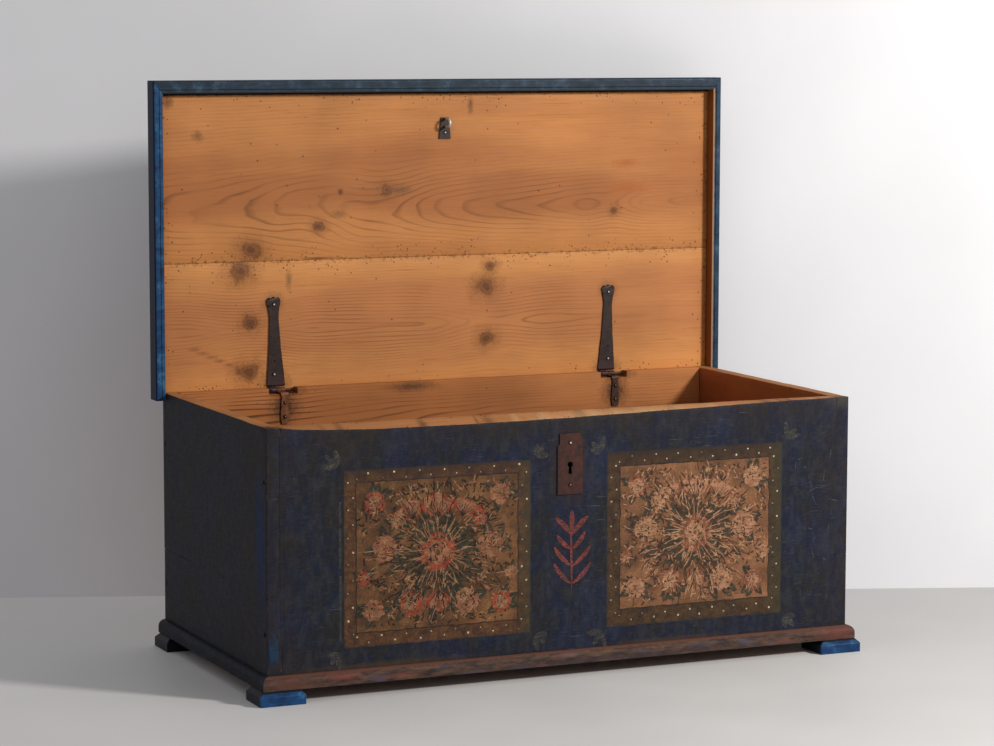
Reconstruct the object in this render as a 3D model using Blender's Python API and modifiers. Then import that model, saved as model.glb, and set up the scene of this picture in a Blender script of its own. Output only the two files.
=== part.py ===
"""Painted pine wedding trunk: a boarded chest on block feet, a lid on strap hinges and a chest lock.

Metres, +Z up, +X along the front and +Y to the back. The origin is on the floor, in the middle of
the space that the trunk fills with its lid open. Shapes are drawn with the lid shut, and the lid
then turns on its hinge line.
"""
import math

import bmesh
import bpy
from mathutils import Matrix, Vector

# Chest
CHEST_WIDTH = 1.150
CHEST_DEPTH = 0.565
RIM_HEIGHT = 0.480
WALL = 0.026
BOTTOM_THICKNESS = 0.020
BOTTOM_FRONT_BOARD = 0.290
SIDE_JOINT_HEIGHT = 0.184
BACK_JOINT_HEIGHT = 0.235
RIM_WEAR = 0.012
RIM_WEAR_LEFT_FALL = 0.6
RIM_WEAR_RIGHT_FALL = 1.4
RIM_WEAR_STEPS = 24
EASED_EDGE = 0.0008

# Fits: between fixed pieces, and where one piece moves past another
FIT = 0.0003
STOP_GAP = 0.0004
LID_REST_GAP = 0.0005
WELD = 0.00001

# Corner pegs
PEG_RADIUS = 0.0045
PEG_BITE = 0.030
PEG_LOW_HEIGHT = 0.120
PEG_HIGH_HEIGHT = 0.385

# Feet and base moulding
FOOT_WIDTH = 0.084
FOOT_DEPTH = 0.075
FOOT_HEIGHT = 0.025
FOOT_PROUD = 0.021
FOOT_CHAMFER = 0.008
BASE_MOULDING_HEIGHT = 0.024
BASE_MOULDING_PROUD = 0.013

# Lid
LID_THICKNESS = 0.018
LID_REAR_BOARD = 0.253
LID_SIDE_CLEARANCE = 0.0015
LID_FRONT_CLEARANCE = 0.004
LID_REAR_OVERHANG = 0.002
LID_OPEN_ANGLE = 90.0
LID_MOULDING_SIDE = 0.018
LID_MOULDING_FRONT = 0.024
LID_MOULDING_DROP = 0.023
LID_MOULDING_TOP_ROUND = 0.007
LID_MOULDING_LOW_ROUND = 0.004
LID_MOULDING_LIP = 0.006
LID_MOULDING_QUIRK = 0.0015

# Strap hinges
HINGE_SPREAD = 0.736
STRAP_LENGTH = 0.178
STRAP_ROOT = 0.036
STRAP_NECK = 0.024
STRAP_TIP = 0.028
STRAP_CROWN = 0.020
STRAP_CROWN_ROUND = 0.003
STRAP_LOBES = 3
STRAP_LOBE = 0.004
STRAP_THICKNESS = 0.003
STRAP_KNUCKLE = 0.018
STRAP_KNUCKLE_INSET = 0.002
STRAP_ROLL_THINNING = 0.0002
STRAP_LOWER_NAIL = 0.030
STRAP_HOLE = 0.055
STRAP_TIP_NAIL = 0.0145
KNUCKLE_RADIUS = 0.0057
KNUCKLE_CLEARANCE = 0.002
PIN_RADIUS = 0.0024
PIN_HEAD_END = 0.002
PIN_TAIL = 0.014
NOTCH_CLEARANCE = 0.003
LEAF_WIDTH = 0.015
LEAF_DROP = 0.068
LEAF_UPPER_NAIL = 0.027
LEAF_LOWER_NAIL = 0.054

# Nails
NAIL_SHANK = 0.0016
NAIL_HEAD = 0.0042
NAIL_HEAD_HEIGHT = 0.0022
NAIL_DOME = 0.0025
NAIL_DOME_DROP = 0.0006
NAIL_BITE = 0.012

# Staple on the lid, and its eye for the bolt
STAPLE_EDGE = 0.046
STAPLE_LENGTH = 0.041
STAPLE_FRONT_WIDTH = 0.016
STAPLE_REAR_WIDTH = 0.024
STAPLE_THICKNESS = 0.003
STAPLE_NAIL = 0.012
EYE_ROD = 0.0025
EYE_SPAN = 0.015
EYE_DROP = 0.030
EYE_CLEARANCE = 0.002

# Key plate and keyhole
KEY_PLATE_WIDTH = 0.050
KEY_PLATE_HEIGHT = 0.110
KEY_PLATE_THICKNESS = 0.002
KEY_PLATE_BELOW_RIM = 0.038
KEY_PLATE_CORNER = 0.012
KEY_PLATE_NICK = 0.0045
KEY_PLATE_NICK_LENGTH = 0.018
KEY_PLATE_NAIL_INSET = 0.017
KEYHOLE_BELOW_RIM = 0.094
KEYHOLE_RADIUS = 0.0052
KEYHOLE_SLOT = 0.0054
KEYHOLE_FLARE = 0.0070
KEYHOLE_DROP = 0.017

# Chest lock
LOCK_WIDTH = 0.110
LOCK_SHEET = 0.002
LOCK_EAR = 0.018
LOCK_EAR_NAIL = 0.016
BOLT_THICKNESS = 0.005
BOLT_BAR = 0.008
BOLT_BAR_CLEARANCE = 0.003
BOLT_TOP_CLEARANCE = 0.0015
BOLT_THROW = 0.014
BOLT_NOSE_CLEARANCE = 0.003
BOLT_COLUMN = 0.012
BOLT_SHOE = 0.012
BOLT_TALON = 0.008
BOLT_TALON_DEPTH = 0.005
KEY_REACH = 0.008
KEY_SWEEP = 0.020
KEY_POST_RADIUS = 0.003
KEY_POST_LENGTH = 0.025
KEEPER_PLACE = 0.016
KEEPER_WIDTH = 0.005
KEEPER_SHEET = 0.002
SPRING_SHEET = 0.0012
SPRING_WIDTH = 0.008
SPRING_RISE = 0.012
SPRING_GAP = 0.0005

# Facets round a nail, a peg or pin, and a quarter round, and the sharpest bend that is shaded round
NAIL_SIDES = 8
ROUND_SIDES = 12
QUARTER_STEPS = 5
SMOOTH_ANGLE = 35.0

# Places that follow from the sizes
HALF_WIDTH = CHEST_WIDTH / 2
INNER_HALF = HALF_WIDTH - WALL
FRONT_Y = (FOOT_PROUD - CHEST_DEPTH - STOP_GAP - LID_THICKNESS) / 2
BACK_Y = FRONT_Y + CHEST_DEPTH
FRONT_INNER_Y = FRONT_Y + WALL
BACK_INNER_Y = BACK_Y - WALL
BOTTOM_TOP = FOOT_HEIGHT + FIT + BOTTOM_THICKNESS
WALL_FOOT = BOTTOM_TOP + FIT
LID_UNDERSIDE = RIM_HEIGHT + LID_REST_GAP
LID_TOP = LID_UNDERSIDE + LID_THICKNESS
LID_HALF = HALF_WIDTH + LID_SIDE_CLEARANCE
LID_FRONT_Y = FRONT_Y - LID_FRONT_CLEARANCE
LID_REAR_Y = BACK_Y + LID_REAR_OVERHANG
HINGE_Z = LID_UNDERSIDE - FIT - KNUCKLE_RADIUS
HINGE_Y = BACK_Y + STOP_GAP - (LID_UNDERSIDE - HINGE_Z)
EYE_Y = FRONT_Y + STAPLE_EDGE + EYE_ROD + EYE_SPAN / 2
KEY_Z = RIM_HEIGHT - KEYHOLE_BELOW_RIM
BAR_LOW = LID_UNDERSIDE - EYE_DROP + 2 * EYE_ROD + BOLT_BAR_CLEARANCE
BAR_HIGH = BAR_LOW + BOLT_BAR
SHOE_LOW = KEY_Z + KEY_REACH
SHOE_HIGH = SHOE_LOW + BOLT_SHOE
LOCK_TOP = BAR_HIGH + BOLT_TOP_CLEARANCE + LOCK_SHEET
LOCK_FOOT = KEY_Z - KEY_SWEEP
LOCK_FRONT_Y = FRONT_INNER_Y + FIT
LOCK_INNER_REAR_Y = EYE_Y + EYE_SPAN / 2 + EYE_ROD + EYE_CLEARANCE
LOCK_REAR_Y = LOCK_INNER_REAR_Y + LOCK_SHEET


def hex_colour(value):
    """Linear colour of an sRGB hex value."""
    channels = [(value >> shift & 255) / 255 for shift in (16, 8, 0)]
    linear = [c / 12.92 if c <= 0.04045 else ((c + 0.055) / 1.055) ** 2.4 for c in channels]
    return (*linear, 1.0)


def finish(name, colour, roughness, metallic=0.0):
    """A plain finish for one kind of piece."""
    made = bpy.data.materials.new(name)
    made.use_nodes = True
    shader = made.node_tree.nodes["Principled BSDF"]
    shader.inputs["Base Color"].default_value = hex_colour(colour)
    shader.inputs["Roughness"].default_value = roughness
    shader.inputs["Metallic"].default_value = metallic
    made.diffuse_color = hex_colour(colour)
    return made


def carrier(name, place, angle=0.0):
    """An empty that carries one body of pieces, set on that body's axis."""
    made = bpy.data.objects.new(name, None)
    parts.objects.link(made)
    made.location = place
    made.rotation_euler = (math.radians(angle), 0, 0)
    made.empty_display_size = WALL
    return made


def piece(name, mesh, surface, body, place=(0, 0, 0), turn=None):
    """A named piece on its body. Its mesh and place are in chest coordinates, with the lid shut."""
    if not mesh.materials:
        mesh.materials.append(surface)
    made = bpy.data.objects.new(name, mesh)
    parts.objects.link(made)
    made.parent = body
    made.location = Vector(place) - body.location
    if turn:
        made.rotation_euler = turn
    return made


def change(part, mesh, operation="DIFFERENCE"):
    """Cut a piece with a shape, or join the shape to it."""
    tool = bpy.data.objects.new(part.name + "_" + operation.lower(), mesh)
    cutters.objects.link(tool)
    tool.parent = part.parent
    tool.location = part.location
    tool.hide_render = True
    tool.display_type = "WIRE"
    boolean = part.modifiers.new(operation.lower(), "BOOLEAN")
    boolean.operation = operation
    boolean.solver = "EXACT"
    boolean.object = tool


def ease(part):
    """Take the sharpness off a piece's edges."""
    bevel = part.modifiers.new("eased_edges", "BEVEL")
    bevel.width = EASED_EDGE
    bevel.segments = 1
    bevel.limit_method = "ANGLE"


def mesh_of(shape, smooth=False):
    """Turn a finished shape into a mesh."""
    mesh = bpy.data.meshes.new("shape")
    shape.to_mesh(mesh)
    shape.free()
    if smooth:
        mesh.shade_smooth()
        mesh.set_sharp_from_angle(angle=math.radians(SMOOTH_ANGLE))
    return mesh


def welded(drawn):
    """The closed mesh of a drawn curve or turned profile, which is then taken away."""
    bpy.context.scene.collection.objects.link(drawn)
    bpy.context.view_layer.update()
    seen = drawn.evaluated_get(bpy.context.evaluated_depsgraph_get())
    mesh = bpy.data.meshes.new_from_object(seen)
    bpy.data.objects.remove(drawn)
    shape = bmesh.new()
    shape.from_mesh(mesh)
    bmesh.ops.remove_doubles(shape, verts=shape.verts, dist=WELD)
    bmesh.ops.recalc_face_normals(shape, faces=shape.faces)
    return mesh_of(shape, smooth=True)


def box(low, high):
    """A rectangular block between two corners."""
    low = Vector(low)
    high = Vector(high)
    shape = bmesh.new()
    bmesh.ops.create_cube(shape, size=1.0)
    bmesh.ops.scale(shape, vec=high - low, verts=shape.verts)
    bmesh.ops.translate(shape, vec=(low + high) / 2, verts=shape.verts)
    return shape


def add_rod(shape, start, direction, radius, length, sides):
    """Add a round bar to a shape, from its start along a direction."""
    direction = Vector(direction)
    turn = Vector((0, 0, 1)).rotation_difference(direction).to_matrix().to_4x4()
    middle = Matrix.Translation(Vector(start) + direction * length / 2)
    bmesh.ops.create_cone(shape, cap_ends=True, segments=sides, radius1=radius, radius2=radius,
                          depth=length, matrix=middle @ turn)


def rod(start, direction, radius, length, sides=ROUND_SIDES):
    """A round bar of its own."""
    shape = bmesh.new()
    add_rod(shape, start, direction, radius, length, sides)
    return mesh_of(shape, smooth=True)


# How a drawn outline's first axis, second axis and thickness lie in the chest
LIE = {
    "X": Matrix(((0, 0, 1), (1, 0, 0), (0, 1, 0))),
    "Y": Matrix(((1, 0, 0), (0, 0, -1), (0, 1, 0))),
    "Z": Matrix.Identity(3),
}


def extruded(outline, axis, low, high):
    """A flat outline given thickness along an axis: (y, z) pairs for X, (x, z) for Y, (x, y) for Z."""
    flat = bpy.data.curves.new("outline", "CURVE")
    flat.dimensions = "2D"
    flat.fill_mode = "BOTH"
    flat.extrude = (high - low) / 2
    line = flat.splines.new("POLY")
    line.points.add(len(outline) - 1)
    for point, (across, up) in zip(line.points, outline):
        point.co = (across, up, 0, 1)
    line.use_cyclic_u = True
    mesh = welded(bpy.data.objects.new("outline", flat))
    along = Vector([float(axis == letter) for letter in "XYZ"])
    mesh.transform(Matrix.Translation(along * (low + high) / 2) @ LIE[axis].to_4x4())
    return mesh


def arc(centre, radius, first, last, steps):
    """Points round part of a circle, with angles in degrees."""
    points = []
    for step in range(steps + 1):
        angle = math.radians(first + (last - first) * step / steps)
        points.append((centre[0] + radius * math.cos(angle), centre[1] + radius * math.sin(angle)))
    return points


def trimmed(mesh, point, outward):
    """Saw the end off a length of moulding and close the cut."""
    shape = bmesh.new()
    shape.from_mesh(mesh)
    everything = shape.verts[:] + shape.edges[:] + shape.faces[:]
    sawn = bmesh.ops.bisect_plane(shape, geom=everything, plane_co=point, plane_no=outward,
                                  clear_outer=True)
    rim = [edge for edge in sawn["geom_cut"] if isinstance(edge, bmesh.types.BMEdge)]
    bmesh.ops.edgeloop_fill(shape, edges=rim)
    bmesh.ops.recalc_face_normals(shape, faces=shape.faces)
    return mesh_of(shape, smooth=True)


holes = {}


def drill(part, start, direction, radius, length, sides=NAIL_SIDES):
    """Mark a round hole in a piece. All the holes of a piece are cut together at the end."""
    if part not in holes:
        holes[part] = bmesh.new()
    add_rod(holes[part], start, direction, radius + FIT, length + FIT, sides)


def nail_mesh(grip):
    """A forged nail with a low domed head, long enough for the metal that it grips and its bite."""
    tip = -(grip + 2 * FIT + NAIL_BITE)
    profile = bmesh.new()
    rings = ((0, NAIL_HEAD_HEIGHT), (NAIL_DOME, NAIL_HEAD_HEIGHT - NAIL_DOME_DROP), (NAIL_HEAD, 0),
             (NAIL_SHANK, 0), (NAIL_SHANK, tip + NAIL_SHANK), (0, tip))
    row = [profile.verts.new((radius, 0, height)) for radius, height in rings]
    for upper, lower in zip(row, row[1:]):
        profile.edges.new((upper, lower))
    drawn = bpy.data.objects.new("nail", mesh_of(profile))
    screw = drawn.modifiers.new("turned", "SCREW")
    screw.steps = NAIL_SIDES
    screw.render_steps = NAIL_SIDES
    screw.use_merge_vertices = True
    screw.merge_threshold = WELD
    return welded(drawn)


nails = {}


def drive_nail(name, place, direction, grip, plate, board, body):
    """Nail a plate to a board: the head stands on the plate at a place, the shank goes in."""
    if grip not in nails:
        nails[grip] = nail_mesh(grip)
    direction = Vector(direction)
    head = Vector(place) - direction * FIT
    turn = Vector((0, 0, -1)).rotation_difference(direction).to_euler()
    piece(name, nails[grip], IRON_NAIL, body, head, turn)
    length = grip + 3 * FIT + NAIL_BITE
    for bored in (plate, board):
        drill(bored, head - direction * NAIL_HEAD_HEIGHT, direction, NAIL_SHANK,
              length + NAIL_HEAD_HEIGHT)


for old in list(bpy.data.objects):
    bpy.data.objects.remove(old, do_unlink=True)
parts = bpy.data.collections.new("wedding_trunk")
cutters = bpy.data.collections.new("wedding_trunk_cutters")
for collection in (parts, cutters):
    bpy.context.scene.collection.children.link(collection)

NAVY_PAINT = finish("worn_navy_paint", 0x2A2E3E, 0.55)
BARE_PINE = finish("bare_aged_pine", 0xB98450, 0.60)
DARK_PINE = finish("dark_pine", 0x5A3A22, 0.70)
LID_BLUE = finish("lid_blue_paint", 0x3A5270, 0.50)
MOULDING_RED = finish("worn_brick_red_paint", 0x7A4A3E, 0.55)
FOOT_BLUE = finish("foot_blue_paint", 0x1F4A80, 0.45)
RUSTY_IRON = finish("rusty_iron", 0x4E3128, 0.75, 0.6)
DARK_IRON = finish("dark_forged_iron", 0x3A3232, 0.55, 0.9)
IRON_NAIL = finish("worn_nail_iron", 0x8A8680, 0.40, 1.0)
PEG_WOOD = finish("peg_wood", 0x3A3A40, 0.60)

chest = carrier("chest_axis", (0, 0, 0))
lid = carrier("lid_hinge_axis", (0, HINGE_Y, HINGE_Z), -LID_OPEN_ANGLE)
bolt_body = carrier("bolt_slide_axis", (0, EYE_Y, (BAR_LOW + BAR_HIGH) / 2))


def front_board():
    """One wide board between the sides. Years of use wore its outer top edge into a long dip."""
    shape = box((-INNER_HALF + FIT, FRONT_Y, WALL_FOOT), (INNER_HALF - FIT, FRONT_INNER_Y, RIM_HEIGHT))
    lengthwise = [edge for edge in shape.edges if abs(edge.verts[0].co.x - edge.verts[1].co.x) > WALL]
    bmesh.ops.subdivide_edges(shape, edges=lengthwise, cuts=RIM_WEAR_STEPS - 1, use_grid_fill=True)
    worst = RIM_WEAR_LEFT_FALL / (RIM_WEAR_LEFT_FALL + RIM_WEAR_RIGHT_FALL)
    deepest = worst ** RIM_WEAR_LEFT_FALL * (1 - worst) ** RIM_WEAR_RIGHT_FALL
    for vertex in shape.verts:
        if vertex.co.y < FRONT_Y + WELD and vertex.co.z > RIM_HEIGHT - WELD:
            along = min(max((vertex.co.x + INNER_HALF) / (2 * INNER_HALF), 0), 1)
            dip = along ** RIM_WEAR_LEFT_FALL * (1 - along) ** RIM_WEAR_RIGHT_FALL
            vertex.co.z -= RIM_WEAR * dip / deepest
    made = piece("front_board", mesh_of(shape), NAVY_PAINT, chest)
    ease(made)
    return made


def board(name, low, high, surface, body, under_hinge=False):
    """A board with eased edges. Under the hinges, the back of the rim is rounded so the lid can swing."""
    shape = box(low, high)
    if under_hinge:
        swept = [edge for edge in shape.edges
                 if min(min(v.co.y - BACK_Y, v.co.z - RIM_HEIGHT) for v in edge.verts) > -WELD]
        bmesh.ops.bevel(shape, geom=swept, offset=RIM_HEIGHT - HINGE_Z, segments=QUARTER_STEPS,
                        profile=0.5, affect="EDGES", material=-1)
    made = piece(name, mesh_of(shape), surface, body)
    ease(made)
    return made


front = front_board()
boards = {}
for word, side in (("left", -1), ("right", 1)):
    near = side * INNER_HALF
    far = side * HALF_WIDTH
    low_x, high_x = min(near, far), max(near, far)
    boards[word, "lower"] = board(
        word + "_side_board_lower", (low_x, FRONT_Y, WALL_FOOT),
        (high_x, BACK_Y, SIDE_JOINT_HEIGHT), NAVY_PAINT, chest)
    boards[word, "upper"] = board(
        word + "_side_board_upper", (low_x, FRONT_Y, SIDE_JOINT_HEIGHT + FIT),
        (high_x, BACK_Y, RIM_HEIGHT), NAVY_PAINT, chest, under_hinge=True)
back_half = INNER_HALF - FIT
boards["back", "lower"] = board(
    "back_board_lower", (-back_half, BACK_INNER_Y, WALL_FOOT),
    (back_half, BACK_Y, BACK_JOINT_HEIGHT), BARE_PINE, chest)
boards["back", "upper"] = board(
    "back_board_upper", (-back_half, BACK_INNER_Y, BACK_JOINT_HEIGHT + FIT),
    (back_half, BACK_Y, RIM_HEIGHT), BARE_PINE, chest, under_hinge=True)
bottom_split = FRONT_Y + BOTTOM_FRONT_BOARD
board("bottom_board_front", (-HALF_WIDTH, FRONT_Y, FOOT_HEIGHT + FIT),
      (HALF_WIDTH, bottom_split, BOTTOM_TOP), DARK_PINE, chest)
board("bottom_board_rear", (-HALF_WIDTH, bottom_split + FIT, FOOT_HEIGHT + FIT),
      (HALF_WIDTH, BACK_Y, BOTTOM_TOP), DARK_PINE, chest)

# Two wooden pegs at each corner go through the side and into the end of the front or back
for word, side in (("left", -1), ("right", 1)):
    for end, peg_y in (("front", FRONT_Y + WALL / 2), ("back", BACK_Y - WALL / 2)):
        for level, peg_z in (("lower", PEG_LOW_HEIGHT), ("upper", PEG_HIGH_HEIGHT)):
            start = Vector((side * HALF_WIDTH, peg_y, peg_z))
            inward = Vector((-side, 0, 0))
            peg = rod(start, inward, PEG_RADIUS, WALL + PEG_BITE)
            piece("corner_peg_{}_{}_{}".format(end, word, level), peg, PEG_WOOD, chest)
            tenon = front if end == "front" else boards["back", level]
            for bored in (boards[word, level], tenon):
                drill(bored, start - inward * WALL, inward, PEG_RADIUS, 2 * WALL + PEG_BITE,
                      ROUND_SIDES)


def foot(name, low_x, low_y):
    """A low block foot with its top edges chamfered."""
    shape = box((low_x, low_y, 0), (low_x + FOOT_WIDTH, low_y + FOOT_DEPTH, FOOT_HEIGHT))
    top = [edge for edge in shape.edges if min(v.co.z for v in edge.verts) > FOOT_HEIGHT - WELD]
    bmesh.ops.bevel(shape, geom=top, offset=FOOT_CHAMFER, segments=1, profile=0.5, affect="EDGES",
                    material=-1)
    ease(piece(name, mesh_of(shape), FOOT_BLUE, chest))


foot_left = -HALF_WIDTH - FOOT_PROUD
foot_right = HALF_WIDTH + FOOT_PROUD - FOOT_WIDTH
foot("foot_front_left", foot_left, FRONT_Y - FOOT_PROUD)
foot("foot_front_right", foot_right, FRONT_Y - FOOT_PROUD)
foot("foot_back_left", foot_left, BACK_Y - FOOT_DEPTH)
foot("foot_back_right", foot_right, BACK_Y - FOOT_DEPTH)


def base_profile(outward):
    """Section of the base moulding: a quarter round on a square foot, standing out from the wall."""
    shoulder = FOOT_HEIGHT + FIT + BASE_MOULDING_HEIGHT - BASE_MOULDING_PROUD
    section = [(0, FOOT_HEIGHT + FIT), (BASE_MOULDING_PROUD, FOOT_HEIGHT + FIT)]
    section += arc((0, shoulder), BASE_MOULDING_PROUD, 0, 90, QUARTER_STEPS)
    return [(outward * (FIT + out), up) for out, up in section]


def moved(outline, across):
    """An outline shifted along its first axis."""
    return [(first + across, second) for first, second in outline]


def mitre_normal(run_x, run_y, side):
    """Direction square to a mitre that runs out from a front corner, pointing to the side."""
    return Vector((side * run_y, run_x, 0)).normalized()


base_reach = HALF_WIDTH + FIT + BASE_MOULDING_PROUD
base_front = extruded(moved(base_profile(-1), FRONT_Y), "X", -base_reach, base_reach)
for word, side in (("left", -1), ("right", 1)):
    corner = Vector((side * (HALF_WIDTH + FIT), FRONT_Y - FIT, 0))
    to_side = mitre_normal(BASE_MOULDING_PROUD, BASE_MOULDING_PROUD, side)
    base_front = trimmed(base_front, corner - to_side * FIT / 2, to_side)
    base_side = extruded(moved(base_profile(side), side * HALF_WIDTH), "Y",
                         FRONT_Y - FIT - BASE_MOULDING_PROUD, BACK_Y)
    base_side = trimmed(base_side, corner + to_side * FIT / 2, -to_side)
    piece("base_moulding_" + word, base_side, NAVY_PAINT, chest)
piece("base_moulding_front", base_front, MOULDING_RED, chest)

lid_split = LID_REAR_Y - LID_REAR_BOARD
lid_half = LID_HALF - FIT
lid_front = board("lid_board_front", (-lid_half, LID_FRONT_Y + FIT, LID_UNDERSIDE),
                  (lid_half, lid_split - FIT, LID_TOP), BARE_PINE, lid)
lid_rear = board("lid_board_rear", (-lid_half, lid_split, LID_UNDERSIDE),
                 (lid_half, LID_REAR_Y, LID_TOP), BARE_PINE, lid)


def lid_profile(thickness, outward):
    """Section of the lid moulding: flush with the lid's top, with a quirk in the face below."""
    low = LID_UNDERSIDE - LID_MOULDING_DROP
    quirk = (LID_MOULDING_LIP + LID_MOULDING_QUIRK / 2, low + LID_MOULDING_QUIRK)
    section = [(0, LID_TOP), (0, low), (LID_MOULDING_LIP, low), quirk,
               (LID_MOULDING_LIP + LID_MOULDING_QUIRK, low)]
    section += arc((thickness - LID_MOULDING_LOW_ROUND, low + LID_MOULDING_LOW_ROUND),
                   LID_MOULDING_LOW_ROUND, -90, 0, QUARTER_STEPS)
    section += arc((thickness - LID_MOULDING_TOP_ROUND, LID_TOP - LID_MOULDING_TOP_ROUND),
                   LID_MOULDING_TOP_ROUND, 0, 90, QUARTER_STEPS)
    return [(outward * out, up) for out, up in section]


lid_reach = LID_HALF + LID_MOULDING_SIDE
moulding_front = extruded(moved(lid_profile(LID_MOULDING_FRONT, -1), LID_FRONT_Y), "X",
                          -lid_reach, lid_reach)
for word, side in (("left", -1), ("right", 1)):
    corner = Vector((side * LID_HALF, LID_FRONT_Y, 0))
    to_side = mitre_normal(LID_MOULDING_SIDE, LID_MOULDING_FRONT, side)
    moulding_front = trimmed(moulding_front, corner - to_side * FIT / 2, to_side)
    moulding_side = extruded(moved(lid_profile(LID_MOULDING_SIDE, side), side * LID_HALF), "Y",
                             LID_FRONT_Y - LID_MOULDING_FRONT, LID_REAR_Y)
    moulding_side = trimmed(moulding_side, corner + to_side * FIT / 2, -to_side)
    piece("lid_moulding_" + word, moulding_side, LID_BLUE, lid)
piece("lid_moulding_front", moulding_front, LID_BLUE, lid)

# Angle at which a strip's inner face leaves the round of its rolled knuckle
roll = math.degrees(math.asin((KNUCKLE_RADIUS - STRAP_THICKNESS) / KNUCKLE_RADIUS))
strap_high = HINGE_Z + KNUCKLE_RADIUS
strap_low = strap_high - STRAP_THICKNESS
strap_start = KNUCKLE_RADIUS + KNUCKLE_CLEARANCE
axis_point = (HINGE_Y, HINGE_Z)


def strap_outline(side):
    """Plan of a strap: straight on its outer edge, tapered on the other, with a three-lobed tip."""
    edge = side * HINGE_SPREAD / 2
    neck = STRAP_LENGTH - STRAP_CROWN
    spare = (STRAP_TIP - STRAP_NECK) / 2
    plan = [(0, strap_start), (spare, neck)]
    steps = STRAP_LOBES * QUARTER_STEPS
    for step in range(steps + 1):
        across = step / steps
        dent = STRAP_LOBE * (1 - abs(math.sin(STRAP_LOBES * math.pi * across)))
        plan.append((STRAP_TIP * across, STRAP_LENGTH - dent - STRAP_CROWN_ROUND * (2 * across - 1) ** 2))
    plan += [(spare + STRAP_NECK, neck), (STRAP_ROOT, strap_start)]
    return [(edge - side * across, HINGE_Y - along) for across, along in plan]


def strap(word, side, low_x):
    """Iron strap under the lid, with its rear end rolled round the hinge pin."""
    made = piece("hinge_strap_" + word, extruded(strap_outline(side), "Z", strap_low, strap_high),
                 DARK_IRON, lid)
    tongue_end = HINGE_Y - strap_start - STRAP_THICKNESS
    rolled = [(tongue_end, strap_low + STRAP_ROLL_THINNING)]
    rolled += [(tongue_end, strap_high - STRAP_ROLL_THINNING)]
    rolled += arc(axis_point, KNUCKLE_RADIUS - STRAP_ROLL_THINNING, 90, -180 - roll, 4 * QUARTER_STEPS)
    change(made, extruded(rolled, "X", low_x + STRAP_KNUCKLE_INSET, low_x + STRAP_KNUCKLE), "UNION")
    centre = side * (HINGE_SPREAD / 2 - STRAP_TIP / 2)
    for spot, along in (("lower", STRAP_LOWER_NAIL), ("tip", STRAP_LENGTH - STRAP_TIP_NAIL)):
        drive_nail("hinge_strap_nail_{}_{}".format(word, spot), (centre, HINGE_Y - along, strap_low),
                   (0, 0, 1), STRAP_THICKNESS, made, lid_rear, lid)
    drill(made, (centre, HINGE_Y - STRAP_HOLE, strap_low - FIT), (0, 0, 1), NAIL_SHANK,
          STRAP_THICKNESS + FIT)
    return made


def leaf(word, low_x):
    """Lower leaf: rolled round the pin, through the notch in the back and down its inner face."""
    face = BACK_INNER_Y - FIT
    foot_z = RIM_HEIGHT - LEAF_DROP
    low_strip = HINGE_Z - KNUCKLE_RADIUS
    outline = [(face, low_strip), (face, foot_z), (face - STRAP_THICKNESS, foot_z),
               (face - STRAP_THICKNESS, low_strip + STRAP_THICKNESS)]
    outline += arc(axis_point, KNUCKLE_RADIUS, 180 + roll, -90, 4 * QUARTER_STEPS)
    made = piece("hinge_leaf_" + word, extruded(outline, "X", low_x, low_x + LEAF_WIDTH),
                 DARK_IRON, chest)
    for spot, drop in (("upper", LEAF_UPPER_NAIL), ("lower", LEAF_LOWER_NAIL)):
        place = (low_x + LEAF_WIDTH / 2, face - STRAP_THICKNESS, RIM_HEIGHT - drop)
        drive_nail("hinge_leaf_nail_{}_{}".format(word, spot), place, (0, 1, 0), STRAP_THICKNESS,
                   made, boards["back", "upper"], chest)
    return made


notches = bmesh.new()
for word, side in (("left", -1), ("right", 1)):
    outer = side * HINGE_SPREAD / 2
    inner = outer - side * STRAP_ROOT
    low_x, high_x = min(outer, inner), max(outer, inner)
    leaf_x = low_x + STRAP_KNUCKLE + FIT
    pin_start = Vector((low_x - PIN_HEAD_END, HINGE_Y, HINGE_Z))
    pin_length = high_x + PIN_TAIL - pin_start.x
    piece("hinge_pin_" + word, rod(pin_start, (1, 0, 0), PIN_RADIUS, pin_length), DARK_IRON, chest)
    for knuckle in (strap(word, side, low_x), leaf(word, leaf_x)):
        drill(knuckle, pin_start, (1, 0, 0), PIN_RADIUS, pin_length, ROUND_SIDES)
    notch = box((pin_start.x - NOTCH_CLEARANCE, BACK_INNER_Y - WALL, HINGE_Z - KNUCKLE_RADIUS - FIT),
                (high_x + PIN_TAIL + NOTCH_CLEARANCE, BACK_Y + WALL, RIM_HEIGHT + WALL))
    notches.from_mesh(mesh_of(notch))
change(boards["back", "upper"], mesh_of(notches))


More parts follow.
